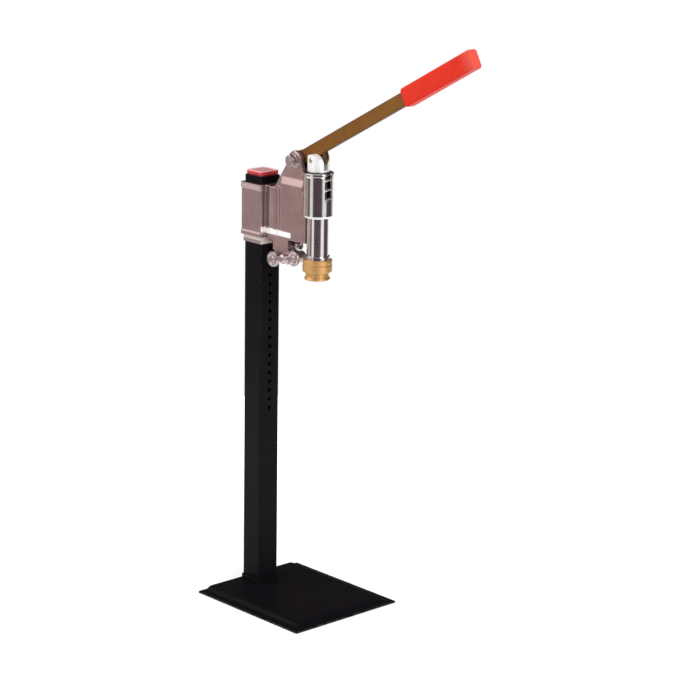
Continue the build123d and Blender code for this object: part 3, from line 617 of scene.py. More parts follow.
# The end cap: red moulded plastic. Its skirt has a row of small flutes, and its top has a low rim. Its
# top face is painted pale pink as a painted highlight, and the foot of its skirt is painted dark red as
# painted shade.
def fluted_ring(half, radius, z, depth, pitch=3.83, steps=160):
    """A round-cornered square whose sides are scalloped this deep."""
    plain = rectangle_ring((-half, -half), (half, half), radius, z, 8)
    points = [Vector(point) for point in plain]
    lengths = [(points[(i + 1) % len(points)] - point).length for i, point in enumerate(points)]
    whole = sum(lengths)
    ring = []
    for i in range(steps):
        left = whole * i / steps
        k = 0
        while left > lengths[k]:
            left -= lengths[k]
            k += 1
        point = points[k].lerp(points[(k + 1) % len(points)], left / lengths[k])
        out = 1 if abs(point.y) > abs(point.x) else 0
        side = point[1 - out]
        if abs(side) <= pitch * 2.9:
            dip = math.sqrt(max(0, 1 - ((side / pitch + 0.5) % 1 - 0.5) ** 2 / 0.034))
            point[out] -= math.copysign(depth * dip, point[out])
        ring.append((point.x, point.y + column_y, z))
    return ring


cap_plastic = Finish("red_cap_plastic")
cap_cloud = cap_plastic.noise(0.006, 2.0)
cap_peel = cap_plastic.noise(0.0012, 1.0)
cap_height = cap_plastic.place.axis("Z")
cap_red = cap_plastic.mix(cap_cloud, (0.68, 0.024, 0.034), (0.82, 0.042, 0.055))
# The foot of the skirt is painted dark red: painted shade.
out_of_shade = cap_plastic.step(cap_height, 0.5098, 0.5138)
cap_skirt = cap_plastic.mix(out_of_shade, (0.16, 0.004, 0.008), cap_red)
# The top face is painted pale pink: a painted highlight.
painted_top_highlight = cap_plastic.step(cap_height, 0.5151, 0.5158)
cap_finish = cap_plastic.made(
    Base_Color=cap_plastic.mix(painted_top_highlight, cap_skirt, (1, 0.68, 0.7)),
    Roughness=0.25 + cap_cloud * 0.12,
    Coat_Weight=0.8,
    Coat_Roughness=0.08,
    Normal=cap_plastic.bump(cap_peel, 0.00003),
)
cap_path = softened(
    [(0, 501), (12.8, 501, 0.4), (12.8, 510, 0.1), (13.7, 510, 0.2), (13.7, 513.4, 0.1),
     (13.7, 516, 1.2), (11.2, 515.8, 0.8), (10.4, 515.4, 0.5), (0, 515.6)], 0.3, 3
)
cap_rings = []
for half, z in cap_path:
    flute = 0.75 if 509.9 < z < 513.5 and half > 13.3 else 0
    pole = [(0, column_y, z)]
    cap_rings.append(fluted_ring(half, min(2.2, half * 0.4), z, flute) if half > 1e-6 else pole)
cap = lofted("column_end_cap_moulding", cap_rings)
fitted(cap, "frame", cap_finish, "red_plastic", "column_end_cap", sharp=42)

# The liner: a thin square sleeve of pale nylon between the column and the head, so that the head slides
# without scoring the enamel. It shows as a light band below the head, and below 434.5 mm it is painted
# darker, except on its front face.
def cut(piece, *tools, operation="DIFFERENCE", solver="EXACT"):
    """Cut closed shapes out of a piece, and throw the cutting shapes away."""
    for tool in tools:
        work = piece.modifiers.new("cut", "BOOLEAN")
        work.operation = operation
        work.solver = solver
        work.object = tool
    settled(piece)
    for tool in tools:
        bpy.data.objects.remove(tool)


def bevelled(piece, width, angle=35):
    """Break the sharp edges of a machined piece, in millimetres."""
    work = bmesh.new()
    work.from_mesh(piece.data)
    bmesh.ops.remove_doubles(work, verts=work.verts, dist=2e-6)
    bmesh.ops.dissolve_limit(work, angle_limit=math.radians(0.6), verts=work.verts, edges=work.edges)
    work.to_mesh(piece.data)
    work.free()
    edge = piece.modifiers.new("edge", "BEVEL")
    edge.width = width * MM
    edge.segments = 2
    edge.limit_method = "ANGLE"
    edge.angle_limit = math.radians(angle)
    return settled(piece)


def bar(low, high, radius=0.0):
    """A block between two corners, its upright edges sharp or rounded."""
    levels = (low[2], high[2])
    corners = [(low[0], low[1]), (high[0], low[1]), (high[0], high[1]), (low[0], high[1])]
    rings = [[(x, y, z) for x, y in corners] for z in levels]
    if radius:
        rings = [rectangle_ring(low, high, radius, z, 4) for z in levels]
    return lofted("rough_block", rings)


def rod(radius, start, end, steps=64):
    """A round cutting shape or rough between two points."""
    axis = Vector(end) - Vector(start)
    profile = [(0, 0), (radius, 0), (radius, axis.length), (0, axis.length)]
    return turned("rough_rod", profile, start, axis.normalized(), steps)


nylon = Finish("pale_nylon")
nylon_cloud = nylon.noise(0.005, 2.0)
# Below 434.5 mm the sleeve is painted darker, except on its front face.
upper_part = nylon.step(nylon.place.axis("Z") + nylon_cloud * 0.0006, 0.4342, 0.4352)
darker_below = (1 - upper_part) * nylon.step(nylon.place.axis("Y"), 0.0522, 0.0526)
nylon_colour = nylon.mix(nylon_cloud, (0.66, 0.54, 0.52), (0.8, 0.68, 0.66))
nylon_finish = nylon.made(
    Base_Color=nylon.mix(darker_below, nylon_colour, (0.3, 0.215, 0.21)),
    Roughness=0.4 + nylon_cloud * 0.15,
    Subsurface_Weight=0.1,
    Normal=nylon.bump(nylon.noise(0.0008), 0.00002),
)
liner_section = softened(
    [(15.1, 430), (16, 430, 0.3), (16, 501, 0.3), (15.1, 501), (15.1, 430)], 0.2, 2
)
liner_rings = [square_ring(half, 0.7 if half > 15.5 else 0.3, z) for half, z in liner_section]
liner = lofted("column_liner_sleeve", liner_rings[:-1], wrap=True)
cut(liner, rod(2.8, (0, 50, index_z), (0, 56, index_z)))
fitted(liner, "head", nylon_finish, "nylon", "column_liner")

# The head: one aluminium casting. The collar with its beads, the web, the ledge, the bosses, the
# shoulders and the ears are fettled, so their inner corners are soft. The holes and the slots are
# machined and stay crisp. The top of the ledge and the rib beside it are painted near white as a
# painted highlight.
web_low, web_high = 442.0, 501.5
ledge_low, ledge_high = 446, 451.4
barrel_y = -30.0
pivot = Vector((0, 2, 537))
screw_x, screw_y = 7, 41


def side_plate(points, half):
    """A plate across the object whose outline is given as y and z."""
    rings = [[(x, y, z) for y, z in points] for x in (-half, half)]
    return lofted("rough_plate", rings)


def sloped_bar(side, rear, front):
    """A bar along Y. Its right side is given as x and z, and its left side mirrors it."""
    section = side + [(-x, z) for x, z in side[::-1]]
    return lofted("rough_bar", [[(x, y, z) for x, z in section] for y in (rear, front)])


def joined(name, parts):
    """One object from several, which may overlap."""
    work = bmesh.new()
    for part in parts:
        work.from_mesh(part.data)
        bpy.data.objects.remove(part)
    mesh = bpy.data.meshes.new(name)
    work.to_mesh(mesh)
    work.free()
    return link(name, mesh)


def cast(piece, grain, rounds, keep=1.0):
    """Run overlapping roughs into one skin with soft inner corners, in millimetres."""
    skin = piece.modifiers.new("skin", "REMESH")
    skin.mode = "VOXEL"
    skin.voxel_size = grain * MM
    soft = piece.modifiers.new("soft", "SMOOTH")
    soft.factor = 0.5
    soft.iterations = rounds
    if keep < 1:
        fewer = piece.modifiers.new("fewer", "DECIMATE")
        fewer.ratio = keep
    return settled(piece)


collar_section = [
    (17, 438), (18.8, 438, 1.0), (18.8, 443.2), (18, 443.7, 0.4), (18, 495.0, 0.4),
    (19.2, 495.2, 1.0), (19.2, 497.8, 0.7), (18.0, 498.2, 0.3), (18.0, 499.2, 0.3),
    (19.2, 499.6, 0.7), (19.2, 501.5), (17, 501.5),
]
collar_rings = [square_ring(half, 2 + (half - 18), z) for half, z in softened(collar_section, 0.8, 3)]
ear_radius = 11
ear_outline = [(36.5, 501.5), (-14.5, 500), (-14.5, 519.5)]
for i in range(17):
    turn = math.radians(195 - i * 195 / 16 - 8)
    ear_outline.append(polar(ear_radius, turn, pivot.y, pivot.z))
roughs = [
    lofted("rough_collar", collar_rings),
    bar((-11, -20.5, web_low), (11, 60, web_high), 1.0),
    sloped_bar([(12.5, web_low), (12.5, ledge_low), (11, ledge_high)], 60, 5),
    side_plate([(54, ledge_low), (48.3, 446.2), (49.6, ledge_high), (54, ledge_high)], 17.6),
    sloped_bar([(11, 500), (11, 507), (8.8, 515.5)], 24, -14.5),
    side_plate(ear_outline, 8.8),
    rod(8.5, (-10.3, pivot.y, pivot.z), (10.3, pivot.y, pivot.z)),
    rod(16.4, (0, barrel_y, 475.5), (0, barrel_y, 525.5)),
]
screw_ways = []
for x in (-screw_x, screw_x):
    rib_x = math.copysign(9, x)
    roughs.append(rod(3.8, (rib_x, 26.5, ledge_low), (rib_x, 26.5, web_high)))
    roughs.append(rod(5.5, (x, screw_y, web_low), (x, screw_y, web_high)))
    screw_ways.append(rod(2, (x, screw_y, 430), (x, screw_y, 520), 32))
    screw_ways.append(rod(3.7, (x, screw_y, 497.5), (x, screw_y, 520), 48))
head = cast(joined("head_casting_body", roughs), grain=0.6, rounds=7)
column_bore = bar((-16, 52, 430), (16, 84, 520), 0.8)
lever_slot = bar((-3.8, -30, 502.5), (3.8, 52, 560))
barrel_bore = rod(15.9, (0, barrel_y, 474), (0, barrel_y, 560), 96)
front_window = bar((-5.4, -60, 494.8), (5.4, -40, 560))
plunger_way = rod(13.1, (0, barrel_y, 430), (0, barrel_y, 480), 96)
pivot_hole = rod(4, (-30, pivot.y, pivot.z), (30, pivot.y, pivot.z))
web_core = bar((-6, -9.5, 448), (6, 34, 495.5), 1.5)
core_mouth = bar((-6, -9.5, 440), (6, 5, 449), 1.5)
big_cuts = [column_bore, lever_slot, barrel_bore, front_window, plunger_way, pivot_hole]
for tool in big_cuts + screw_ways + [web_core, core_mouth]:
    cut(head, tool, solver="MANIFOLD")


def painted_ledge_highlight(metal):
    """The ledge and the rib beside it, painted near white as a painted highlight."""
    aside = metal.step(abs(metal.place.axis("X")), 0.0112, 0.0114)
    ahead = 1 - metal.step(metal.place.axis("Y"), 0.0502, 0.0504)
    return metal.place.axis("Z").between(0.4447, 0.4516, 0.0002) * aside * ahead


def cast_aluminium(name, bright=1.0, highlighted=lambda metal: 0.0):
    """Fettled aluminium: a fine matt grain with patches. Its last argument masks places painted near
    white as a painted highlight.
    """
    metal = Finish(name)
    # Places painted near white and less metallic: a painted highlight.
    painted_highlight = highlighted(metal)
    grain = metal.noise(0.0007, 3.0)
    patch = metal.noise(0.018, 3.0)
    dark = (0.29 * bright, 0.205 * bright, 0.2 * bright)
    light = (0.44 * bright, 0.325 * bright, 0.315 * bright)
    skin_colour = metal.mix(patch * 0.8 + grain * 0.2, dark, light)
    return metal.made(
        Base_Color=metal.mix(painted_highlight, skin_colour, (0.97, 0.9, 0.89)),
        Metallic=0.9 - painted_highlight * 0.6,
        Roughness=0.3 + patch * 0.1 + grain * 0.06,
        Normal=metal.bump(grain, 0.00005),
    )


aluminium = cast_aluminium("cast_aluminium", 1.0, painted_ledge_highlight)
fitted(head, "head", aluminium, "cast_aluminium", "head_casting", sharp=42)

# The barrel of the head is turned and polished, with a rolled rim, a groove under it and a bevel at its
# foot, which is painted white and matt as a painted highlight. Its front has a window for the lever,
# its rear the lever slot.
def polished_steel(name, dark, light, ring=0.00035, painted_highlight_heights=(8, 9), matt=0.0):
    """Turned and polished metal, with the faintest rings of the tool round its axis. Between two
    heights it may be painted white and matt, as a painted highlight."""
    metal = Finish(name)
    lines = metal.noise(ring, 1.0, stretch=(0.02, 0.02, 1))
    cloud = metal.noise(0.012, 2.0)
    # A painted highlight: white and matt between two heights.
    painted_white_band = metal.place.axis("Z").between(painted_highlight_heights[0], painted_highlight_heights[1], 0.0002)
    return metal.made(
        Base_Color=metal.mix(painted_white_band, metal.mix(cloud, dark, light), (0.93, 0.92, 0.91)),
        Metallic=1 - matt - painted_white_band * 0.75,
        Roughness=0.08 + matt + lines * 0.1 + cloud * 0.04 + painted_white_band * 0.3,
        Normal=metal.bump(lines, 0.000006),
    )


def turned_ring(name, path, centre, along=(0, 0, 1), steps=96, soft=0.3):
    """A lathe shape with a hole. Its path is closed and its corners are rounded."""
    rounded = softened(path + path[:1], soft, 3)[:-1]
    return turned(name, rounded, centre, along, steps, wrap=True)


# Its foot bevel is painted white: a painted highlight.
barrel_finish = polished_steel(
    "turned_barrel", (0.5, 0.47, 0.47), (0.66, 0.63, 0.63), painted_highlight_heights=(0.47, 0.4768)
)
barrel_path = [
    (14.3, 478), (14.3, 474), (15, 474, 0.2), (17.5, 476.5, 0.8), (17.5, 522.2, 0.3),
    (17.1, 522.6, 0.2), (17.5, 523, 0.3), (18.2, 523.6, 0.7), (18.2, 526.4, 0.8), (17.4, 527),
    (16.1, 527), (15.7, 526.4, 0.3), (15.7, 482, 0.2), (14.3, 482, 0.2),
]
plunger_line = (0, barrel_y, 0)
barrel = turned_ring("head_barrel", barrel_path, plunger_line, steps=128, soft=0.4)
cut(barrel, bar((-5.2, -60, 495), (5.2, -40, 560)), bar((-3.8, -20, 502.7), (3.8, 0, 560)))
bevelled(barrel, 0.25, angle=50)
fitted(barrel, "head", barrel_finish, "cast_aluminium", "head_casting")

# The lock block under the web: a small aluminium block, slit up the middle, that grips the
# index pin when its round lugs are squeezed. Its edges are broken with a file.
def machined_copy(name, node, edge):
    """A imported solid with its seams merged, its flats made whole and its edges broken."""
    return bevelled(link(name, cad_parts[node].data.copy()), edge)


block = machined_copy("lock_block_slit", "lock_block", 0.5)
fitted(block, "head", cast_aluminium("block_aluminium", 1.15), "cast_aluminium", "lock_block")

# Two M4 socket screws hold the block. Their round heads lie in the bosses beside the web,
# flush with its top, and each has a hexagon socket. Black oxide gone grey.
screw_finish = clouded(
    "black_oxide_screw", (0.002, 3.0), (0.05, 0.045, 0.05), (0.16, 0.14, 0.15),
    rough=0.3, spread=0.2, metallic=0.9,
)
socket_rings = standing(
    [[(0, 0, 438)], round_ring(1.6, 438), round_ring(2, 438.5), round_ring(2, 497.7)]
    + [round_ring(3.5, 497.7), round_ring(3.66, 497.9), round_ring(3.66, 500.9), round_ring(3.3, 501.4)]
    + [round_ring(1.95, 501.4), hexagon_ring(3, 501.1), hexagon_ring(3, 499.3), [(0, 0, 498.8)]]
)
screws = lofted("lock_block_socket_screws", socket_rings)
copies.run(screws, screw_finish, SpanX=2 * screw_x * MM)
moved(screws, (0, screw_y, 0))
fitted(screws, "head", screw_finish, "zinc_steel", "lock_block_screws")

# The index pin: a bright turned steel rod that slides through the block, with a thinner tip
# for the holes of the column and a knurled knob pressed on its front end.
pin_steel = polished_steel("bright_pin_steel", (0.55, 0.53, 0.52), (0.72, 0.7, 0.69))
pin_path = softened(
    [(0, 15.3), (1.9, 15.3), (2.4, 16), (2.4, 20.3), (3, 20.6), (3, 66.5),
     (2.6, 67), (0, 67)], 0.3, 3
)
pin = turned("index_pin_rod", pin_path, (0, column_y, index_z), (0, -1, 0), 64)
fitted(pin, "index_pin", pin_steel, "zinc_steel", "index_pin")

knurl = Recipe("knurled_sleeve", Radius=0.006, Length=0.005, Depth=0.0003, Around=30, Along=8)
size = knurl.given
end_drop = 0.0005
sheet, round_share, long_share = knurl.sheet(181, 33)
turn = round_share * (2 * math.pi)
one_way = round_share * size["Around"] + long_share * size["Along"]
other_way = round_share * size["Around"] - long_share * size["Along"]
grooves = (1 - one_way.zigzag().smallest(other_way.zigzag()) * 4).largest(0.0) * size["Depth"]
ends_down = (long_share * (1 - long_share) * 16).smallest(1.0)
out = (size["Radius"] - grooves) - (1 - ends_down) * end_drop
knurl.roll_up(sheet, knurl.vector(out * turn.cosine(), long_share * size["Length"], out * turn.sine()))
knob_path = softened(
    [(0, -1), (2.2, -1), (2.8, -1.2), (3.9, -1.2, 0.4), (5.1, 0, 0.4), (5.05, 3.6),
     (4.4, 4.8, 0.4), (3.02, 4.8, 0.2), (3.02, 0.8), (0, 0.8)], 0.3, 3
)
knob = turned("index_knob_knurled", knob_path, (0, 0, 0), (0, 1, 0), 64)
knurl.run(knob, pin_steel, Radius=5.5 * MM, Length=3.8 * MM, Depth=0.3 * MM, Around=28, Along=6)
moved(knob, (0, 0.2, index_z))
fitted(knob, "index_pin", pin_steel, "zinc_steel", "index_knob", sharp=50)

# The wing screw: a zinc casting with two dished discs on a short bar, on a threaded shank
# that goes through the block's lugs. A washer and a nut stand on the two sides.
def dished_disc(y):
    """One disc of the wing, turned about X, with a raised rim and a boss."""
    path = softened(
        [(0, 18.1), (2.6, 18.1), (3.1, 17.6, 0.3), (5.6, 17.5, 0.3), (6.3, 18.4, 0.3),
         (8.3, 18.5, 0.7), (9.25, 17.3, 0.7), (9.25, 15, 0.7), (8.2, 14, 0.6), (0, 14)], 0.4, 4
    )
    return turned("wing_disc", path, (0, y, clamp_z), (-1, 0, 0), 72)


clamp_y, clamp_z = 11.5, 419.9
clamp_line = (0, clamp_y, clamp_z)
wing_reach, wing_lean = 18.3, math.radians(-10.5)
wing_bar = lofted(
    "rough_wing_bar",
    [
        rectangle_ring((14.4 + inset, -3.1 + inset), (17.6 - inset, 3.1 - inset), 1.2, y, 4)
        for y, inset in ((-13, 0.6), (-5, 0), (5, 0), (13, 0.6))
    ],
)
moved(wing_bar, clamp_line, ((-1, 0, 0), (0, 0, 1), (0, 1, 0)))
hub_path = softened(
    [(0, 20), (3.4, 20, 0.5), (5.6, 19, 1), (6, 17, 0.8), (6, 12.2, 0.8), (5.2, 11.3, 0.3),
     (0, 11.3)], 0.4, 4
)
hub = turned("wing_hub", hub_path, clamp_line, (-1, 0, 0), 72)
discs = [dished_disc(clamp_y - wing_reach), dished_disc(clamp_y + wing_reach)]
wing = cast(joined("wing_screw_wings", discs + [wing_bar, hub]), grain=0.3, rounds=3, keep=0.5)
tilt_about = Matrix.Translation((0, clamp_y * MM, clamp_z * MM))
wing.data.transform(tilt_about @ Matrix.Rotation(wing_lean, 4, "X") @ tilt_about.inverted())
wing_zinc = zinc_plate("die_cast_zinc", 0.85)
fitted(wing, "wing_screw", wing_zinc, "zinc_steel", "wing_screw", sharp=50)

thread = Recipe("threaded_shank", Radius=0.003, Length=0.026, Pitch=0.001, Depth=0.0003, Rows=261)
size = thread.given
sheet, round_share, long_share = thread.sheet(33, size["Rows"])
height = long_share * size["Length"]
tooth = height / size["Pitch"] - round_share
run_out = (long_share * (1 - long_share) * 24).smallest(1.0)
out = size["Radius"] - size["Depth"] * (1 - tooth.zigzag() * 2 * run_out)
turn = round_share * (2 * math.pi)
thread.roll_up(sheet, thread.vector(height, out * turn.cosine(), out * turn.sine()))


def shank(name, radius, length, pitch, depth, start):
    """A plated threaded rod along +X with a plain core whose ends stand a little proud."""
    low, high, inside = -0.5, length + 0.5, radius - depth
    core = softened([(0, low), (inside, low, 0.2), (inside, high, 0.4), (0, high)], 0.3, 2)
    rod_core = turned(name, core, (0, 0, 0), (1, 0, 0), 32)
    rows_per_turn = 8
    thread.run(
        rod_core, zinc, Radius=radius * MM, Length=length * MM, Pitch=pitch * MM, Depth=depth * MM,
        Rows=int(length / pitch * rows_per_turn) + 1,
    )
    return moved(rod_core, start)


clamp_shank = shank("wing_screw_shank", 3, 25.5, 1, 0.32, (-11, clamp_y, clamp_z))
fitted(clamp_shank, "wing_screw", zinc, "zinc_steel", "wing_screw", sharp=60)


def washer(name, inside, outside, low, high, centre, along):
    """A stamped washer, rounded on the side that the punch left."""
    path = [
        ((inside + outside) / 2, low), (outside, low, 0.1), (outside, high, 0.5),
        (inside, high), (inside, low, 0.1),
    ]
    return turned_ring(name, path, centre, along, 72)


clamp_ring = washer("clamp_washer_ring", 3.05, 6.5, 10, 11.2, clamp_line, (-1, 0, 0))
fitted(clamp_ring, "head", zinc, "zinc_steel", "clamp_washer")


def nut(name, across, bore, low, high, centre, collar=0.0):
    """A hexagon nut along +X, chamfered outside and countersunk. A collar holds a nylon ring."""
    body_high = high - collar
    rings = [round_ring(across / 2 * 0.97, low), hexagon_ring(across, low + 0.4, across / 2 * 1.15)]
    rings += chamfered_hexagon(across, low, body_high)[1:]
    if collar:
        rings += [
            round_ring(across / 2 * 0.86, body_high + 0.1),
            round_ring(across / 2 * 0.84, high - 0.6),
            round_ring(across / 2 * 0.74, high),
            round_ring(bore + 0.9, high - 0.2),
        ]
    rings += [round_ring(bore + 0.6, high - (0.5 if collar else 0)), round_ring(bore, high - 0.8)]
    rings += [round_ring(bore, low + 0.6), round_ring(bore + 0.6, low)]
    piece = lofted(name, standing(rings), wrap=True)
    return moved(piece, centre, ((0, 0, 1), (1, 0, 0), (0, 1, 0)))


fitted(nut("clamp_nut_hex", 10, 3.05, 10, 15, clamp_line), "head", zinc, "zinc_steel", "clamp_nut")

# The plunger bush: a bronze ring pressed into the barrel's floor. Only its lower face shows,
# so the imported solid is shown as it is.
bronze = polished_steel("bronze", (0.42, 0.22, 0.09), (0.55, 0.31, 0.14))
coat("plunger_bush", bronze)

# The plunger: a ground and polished steel rod. Its arched head is painted white and matt as a painted
# highlight, and is slotted for the lever and drilled for the fork pin. Its lower end is bored for the
# sprung cap holder.
# Its arched head is painted white: a painted highlight.
plunger_steel = polished_steel(
    "polished_plunger", (0.6, 0.57, 0.57), (0.76, 0.73, 0.73), painted_highlight_heights=(0.5282, 9)
)
plunger_radius, arch_z, fork_pin_z = 12.75, 535.25, 541
plunger_path = [
    (0, 450), (7.5, 450), (7.5, 420), (12.35, 420), (plunger_radius, 420.4), (plunger_radius, 526.5),
    (12.05, 526.5), (12.05, 528), (plunger_radius, 528), (plunger_radius, 548), (0, 548),
]
plunger = turned("plunger_rod", plunger_path, plunger_line, steps=128)
arch_outline = [(barrel_y + plunger_radius, 410), (barrel_y - plunger_radius, 410)]
for i in range(33):
    arch_outline.append(polar(plunger_radius, math.pi * (1 - i / 32), barrel_y, arch_z))
cut(plunger, side_plate(arch_outline, 30), operation="INTERSECT")
keeper_turn = math.radians(45)
keeper_way = Vector((*polar(1, keeper_turn), 0))
keeper_centre = Vector((0, barrel_y, 434))
cut(
    plunger,
    bar((-3.1, -60, 530), (3.1, 0, 560)),
    rod(3, (-30, barrel_y, fork_pin_z), (30, barrel_y, fork_pin_z)),
    rod(2, keeper_centre, keeper_centre + keeper_way * 20, 32),
)
bevelled(plunger, 0.35, angle=50)
fitted(plunger, "plunger", plunger_steel, "polished_steel", "plunger", sharp=45)

# The fork pin: a hardened steel pin across the fork, pressed in, with domed ends. It drives
# the plunger from the lever's slot.
fork_pin_path = softened(
    [(0, -12), (2.4, -11.9), (3, -11.2), (3, 11.2), (2.4, 11.9), (0, 12)], 0.5
)
fork_pin = turned("fork_pin_hardened", fork_pin_path, (0, barrel_y, fork_pin_z), (1, 0, 0), 48)
fitted(fork_pin, "plunger", pin_steel, "polished_steel", "fork_pin")

# The return spring: drawn steel wire with a pale plating, wound open, its two end turns
# lying flat on their seats. It shows through the barrel's window, and the plunger squeezes it.
coil = Recipe("coil_spring", Radius=0.01435, Wire=0.0011, Height=0.0397, Turns=3.75, Flat=0.12)
size = coil.given
wire_line = coil.geometry("CurvePrimitiveLine", {"Start": (0, 0, 0), "End": (1, 0, 0)})
many = coil.geometry("ResampleCurve", {"Curve": wire_line, "Count": 400})
way = coil.node("GeometryNodeInputPosition").axis("X")
angle = way * size["Turns"] * (2 * math.pi)
rise = ((way - size["Flat"]) / (1 - size["Flat"] * 2)).largest(0.0).smallest(1.0)
lift = (rise * 0.88 + way * 0.12) * size["Height"]
helix = coil.vector(angle.cosine() * size["Radius"], angle.sine() * size["Radius"], lift)
wound = coil.geometry("SetPosition", {"Geometry": many, "Position": helix})
outline = {"Resolution": 16, "Radius": size["Wire"]}
section = coil.geometry("CurvePrimitiveCircle", outline, {"mode": "RADIUS"})
drawn = coil.geometry("CurveToMesh", {"Curve": wound, "Profile Curve": section, "Fill Caps": True})
coil.ends(drawn)
wire_finish = clouded(
    "plated_spring_wire", (0.003, 2.0), (0.6, 0.56, 0.48), (0.8, 0.77, 0.7),
    rough=0.3, spread=0.1, metallic=0.7,
)


def spring(name, radius, wire, low, high, turns, start=0):
    """A coil on the plunger's axis between two heights, with a flat start at each end."""
    made = link(name, bpy.data.meshes.new(name))
    coil.run(
        made, wire_finish, Radius=radius * MM, Wire=wire / 2 * MM, Height=(high - low - wire) * MM,
        Turns=turns, Flat=0.04,
    )
    return moved(made, (0, barrel_y, low + wire / 2), Matrix.Rotation(math.radians(start), 4, "Z"))


seat_z = 482.05
return_coil = spring("return_spring_coil", 14.35, 2.2, seat_z, 523.95, turns=3.75, start=190)
fitted(return_coil, "head", wire_finish, "spring_steel", "return_spring", sharp=60)
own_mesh(return_coil)

# The seat ring that the spring pushes up on, and the circlip that holds it on the plunger.
# Both lie inside the barrel, under the rim.
seat_path = [(14, 524), (15.5, 524), (15.5, 526.5, 0.4), (12.78, 526.5), (12.78, 524)]
seat_ring = turned_ring("spring_seat_turned", seat_path, plunger_line)
fitted(seat_ring, "plunger", pin_steel, "polished_steel", "spring_seat_ring")
coat("plunger_circlip", screw_finish)

# The capping bell: turned from brass bar, with a V groove round its middle and a rolled
# mouth. The locking ring above it is steel and has four notches for a spanner.
brass = polished_steel("turned_brass", (0.55, 0.305, 0.11), (0.67, 0.39, 0.15), 0.0005, matt=0.3)
bell_path = [
    (14.2, 425), (16.4, 425, 0.5), (17.25, 424.2, 0.5), (17.25, 420, 0.4), (16.2, 419),
    (17.25, 418, 0.4), (17.25, 410.9, 0.5), (16.4, 410, 0.4), (15.6, 410), (15.4, 410.4, 0.2),
    (15.4, 414), (13.7, 414), (13.7, 420), (12.75, 420), (12.75, 425),
]
bell = turned_ring("capping_bell_turned", bell_path, plunger_line, steps=128)
fitted(bell, "plunger", brass, "brass", "capping_bell")
lock_ring = machined_copy("bell_lock_ring_notched", "bell_lock_ring", 0.3)
fitted(lock_ring, "plunger", pin_steel, "zinc_steel", "bell_lock_ring")

# The cap holder: a brass cup with a flared rim that springs up into the bell as a cap goes
# on. A dark magnet in its roof holds the cap, and a grub screw keeps its stem in the plunger.
holder_path = [
    (0, 410), (7, 410), (7, 408), (12.2, 408), (12.2, 401.6), (12.8, 401), (14.5, 401), (15, 401.5),
    (15, 402.8), (13.7, 404.3), (13.5, 404.6), (13.5, 411.8), (13.3, 412), (7.45, 412), (7.45, 440),
    (5.5, 440), (5.5, 416), (0, 416),
]
holder = turned("cap_holder_cup", holder_path, plunger_line, steps=128)
keeper_slot = bar((5, -2.15, -9.65), (20, 2.15, 2.15))
cut(holder, moved(keeper_slot, keeper_centre, Matrix.Rotation(keeper_turn, 4, "Z")))
fitted(holder, "cap_holder", brass, "brass", "cap_holder", sharp=50)
magnet = Finish("dark_magnet")
magnet_finish = magnet.made(
    Base_Color=magnet.mix(magnet.noise(0.001, 3.0), (0.02, 0.02, 0.022), (0.06, 0.06, 0.065)),
    Metallic=0.5,
    Roughness=0.45 + magnet.noise(0.004) * 0.2,
)
magnet_path = softened([(0, 407.5), (6.95, 407.5, 0.5), (6.95, 410), (0, 410)], 0.4)
disc = turned("cap_magnet_disc", magnet_path, plunger_line, steps=64)
fitted(disc, "cap_holder", magnet_finish, "magnet", "cap_magnet")
coat("keeper_screw", screw_finish)
roof_z = 449.95
holder_coil = spring("holder_spring_coil", 4.2, 1.2, 416.05, roof_z, turns=7.0)
fitted(holder_coil, "plunger", wire_finish, "spring_steel", "holder_spring", sharp=60)
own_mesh(holder_coil)

# The lever: a flat steel bar with a lobe for the fork pin, yellow zinc plated and aged to a
# brown gold, brushed along its length and dark along its edges.
slope = math.radians(28)


def along_lever(finish):
    """How far along the lever and across it a point lies, in metres from the pivot."""
    ahead = finish.place.axis("Y") * -1 + pivot.y * MM
    above = finish.place.axis("Z") - pivot.z * MM
    cosine, sine = math.cos(slope), math.sin(slope)
    return ahead * cosine + above * sine, above * cosine - ahead * sine


gold = Finish("yellow_zinc_lever")
along, across = along_lever(gold)
brushed = gold.noise(0.0005, 2.0, stretch=(1, 0.03, 1), turn=(slope, 0, 0))
tarnish = gold.noise(0.02, 4.0)
edge_dark = gold.step(abs(across), 0.0064, 0.0079)
gold_colour = gold.mix(tarnish, (0.155, 0.061, 0.009), (0.29, 0.132, 0.024))
gold_finish = gold.made(
    Base_Color=gold.mix(edge_dark * 0.75, gold_colour, (0.05, 0.024, 0.008)),
    Metallic=0.75,
    Roughness=0.34 + brushed * 0.16 + tarnish * 0.08,
    Normal=gold.bump(brushed, 0.00002),
)
lever = machined_copy("lever_bar_plated", "lever_bar", 0.5)
fitted(lever, "lever", gold_finish, "lever_steel", "lever_bar")
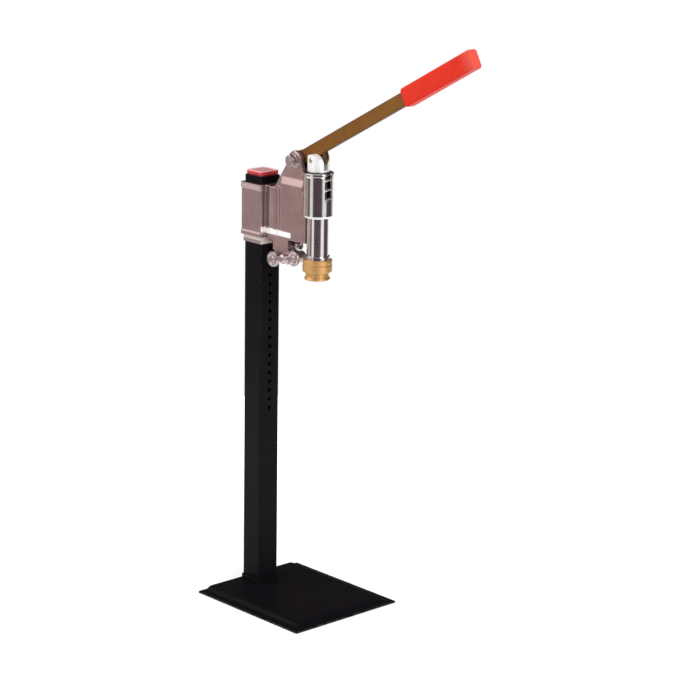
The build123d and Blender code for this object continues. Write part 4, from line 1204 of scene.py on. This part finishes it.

# The grip: red vinyl moulded over the bar's end, with flat sides, rounded corners and a closed outer
# end, which is painted lighter as a painted highlight.
grip_red = Finish("red_vinyl")
along, across = along_lever(grip_red)
skin = grip_red.noise(0.0011, 2.0)
grip_cloud = grip_red.noise(0.015, 3.0)
# The outer end is painted lighter: a painted highlight.
painted_end_highlight = grip_red.step(along + grip_cloud * 0.006, 0.297, 0.315) * 0.5
grip_colour = grip_red.mix(grip_cloud, (0.74, 0.021, 0.006), (0.84, 0.034, 0.012))
grip_finish = grip_red.made(
    Base_Color=grip_red.mix(painted_end_highlight, grip_colour, (0.85, 0.16, 0.12)),
    Roughness=0.4 + skin * 0.15,
    Specular_IOR_Level=0.16,
    Normal=grip_red.bump(skin, 0.00005),
)
grip_rings = []
grip_section = softened(
    [(0, 197), (8.6, 197, 0.4), (10.2, 197, 1.4), (11, 199.5, 1.2), (11, 313.55, 2.9),
     (0, 313.75)], 1, 6
)
for tall, distance in grip_section:
    if tall < 1e-6:
        grip_rings.append([(0, 0, distance)])
        continue
    wide = max(0.3, tall - 4)
    corner = min(2.8, wide * 0.8)
    grip_rings.append(rectangle_ring((-wide, -tall), (wide, tall), corner, distance, 8))
grip = lofted("lever_grip_moulding", grip_rings)
cosine, sine = math.cos(slope), math.sin(slope)
moved(grip, pivot, ((-1, 0, 0), (0, sine, -cosine), (0, cosine, sine)))
fitted(grip, "lever", grip_finish, "grip_plastic", "lever_grip", sharp=60)

# The pivot: a bronze bush in the lever between two nylon spacers, on an M8 bolt with a
# washer under its head and its nut.
coat("pivot_bush", bronze)
coat("lever_spacers", nylon_finish)
face_out, head_top = 11.9, 17.2
head_rings = standing(chamfered_hexagon(13, face_out, head_top) + [[(0, 0, head_top)]])
bolt_zinc = zinc_plate("grey_zinc", 0.85)
bolt_head = lofted("pivot_bolt_head", head_rings)
moved(bolt_head, pivot, ((0, 0, -1), (1, 0, 0), (0, -1, 0)))
fitted(bolt_head, "head", bolt_zinc, "zinc_steel", "pivot_bolt")
bolt_shank = shank("pivot_bolt_shank", 4, 31.6, 1.25, 0.4, (-11.2, pivot.y, pivot.z))
fitted(bolt_shank, "head", zinc, "zinc_steel", "pivot_bolt", sharp=60)
for side, label in ((-1, "head"), (1, "nut")):
    pivot_washer = washer("pivot_washer_" + label, 4.05, 8, 10.3, face_out, pivot, (side, 0, 0))
    fitted(pivot_washer, "head", zinc, "zinc_steel", "pivot_washers")
pivot_nut = nut("pivot_nut_locking", 13, 4.05, face_out, 19.9, pivot, collar=2.0)
fitted(pivot_nut, "head", zinc, "zinc_steel", "pivot_nut")
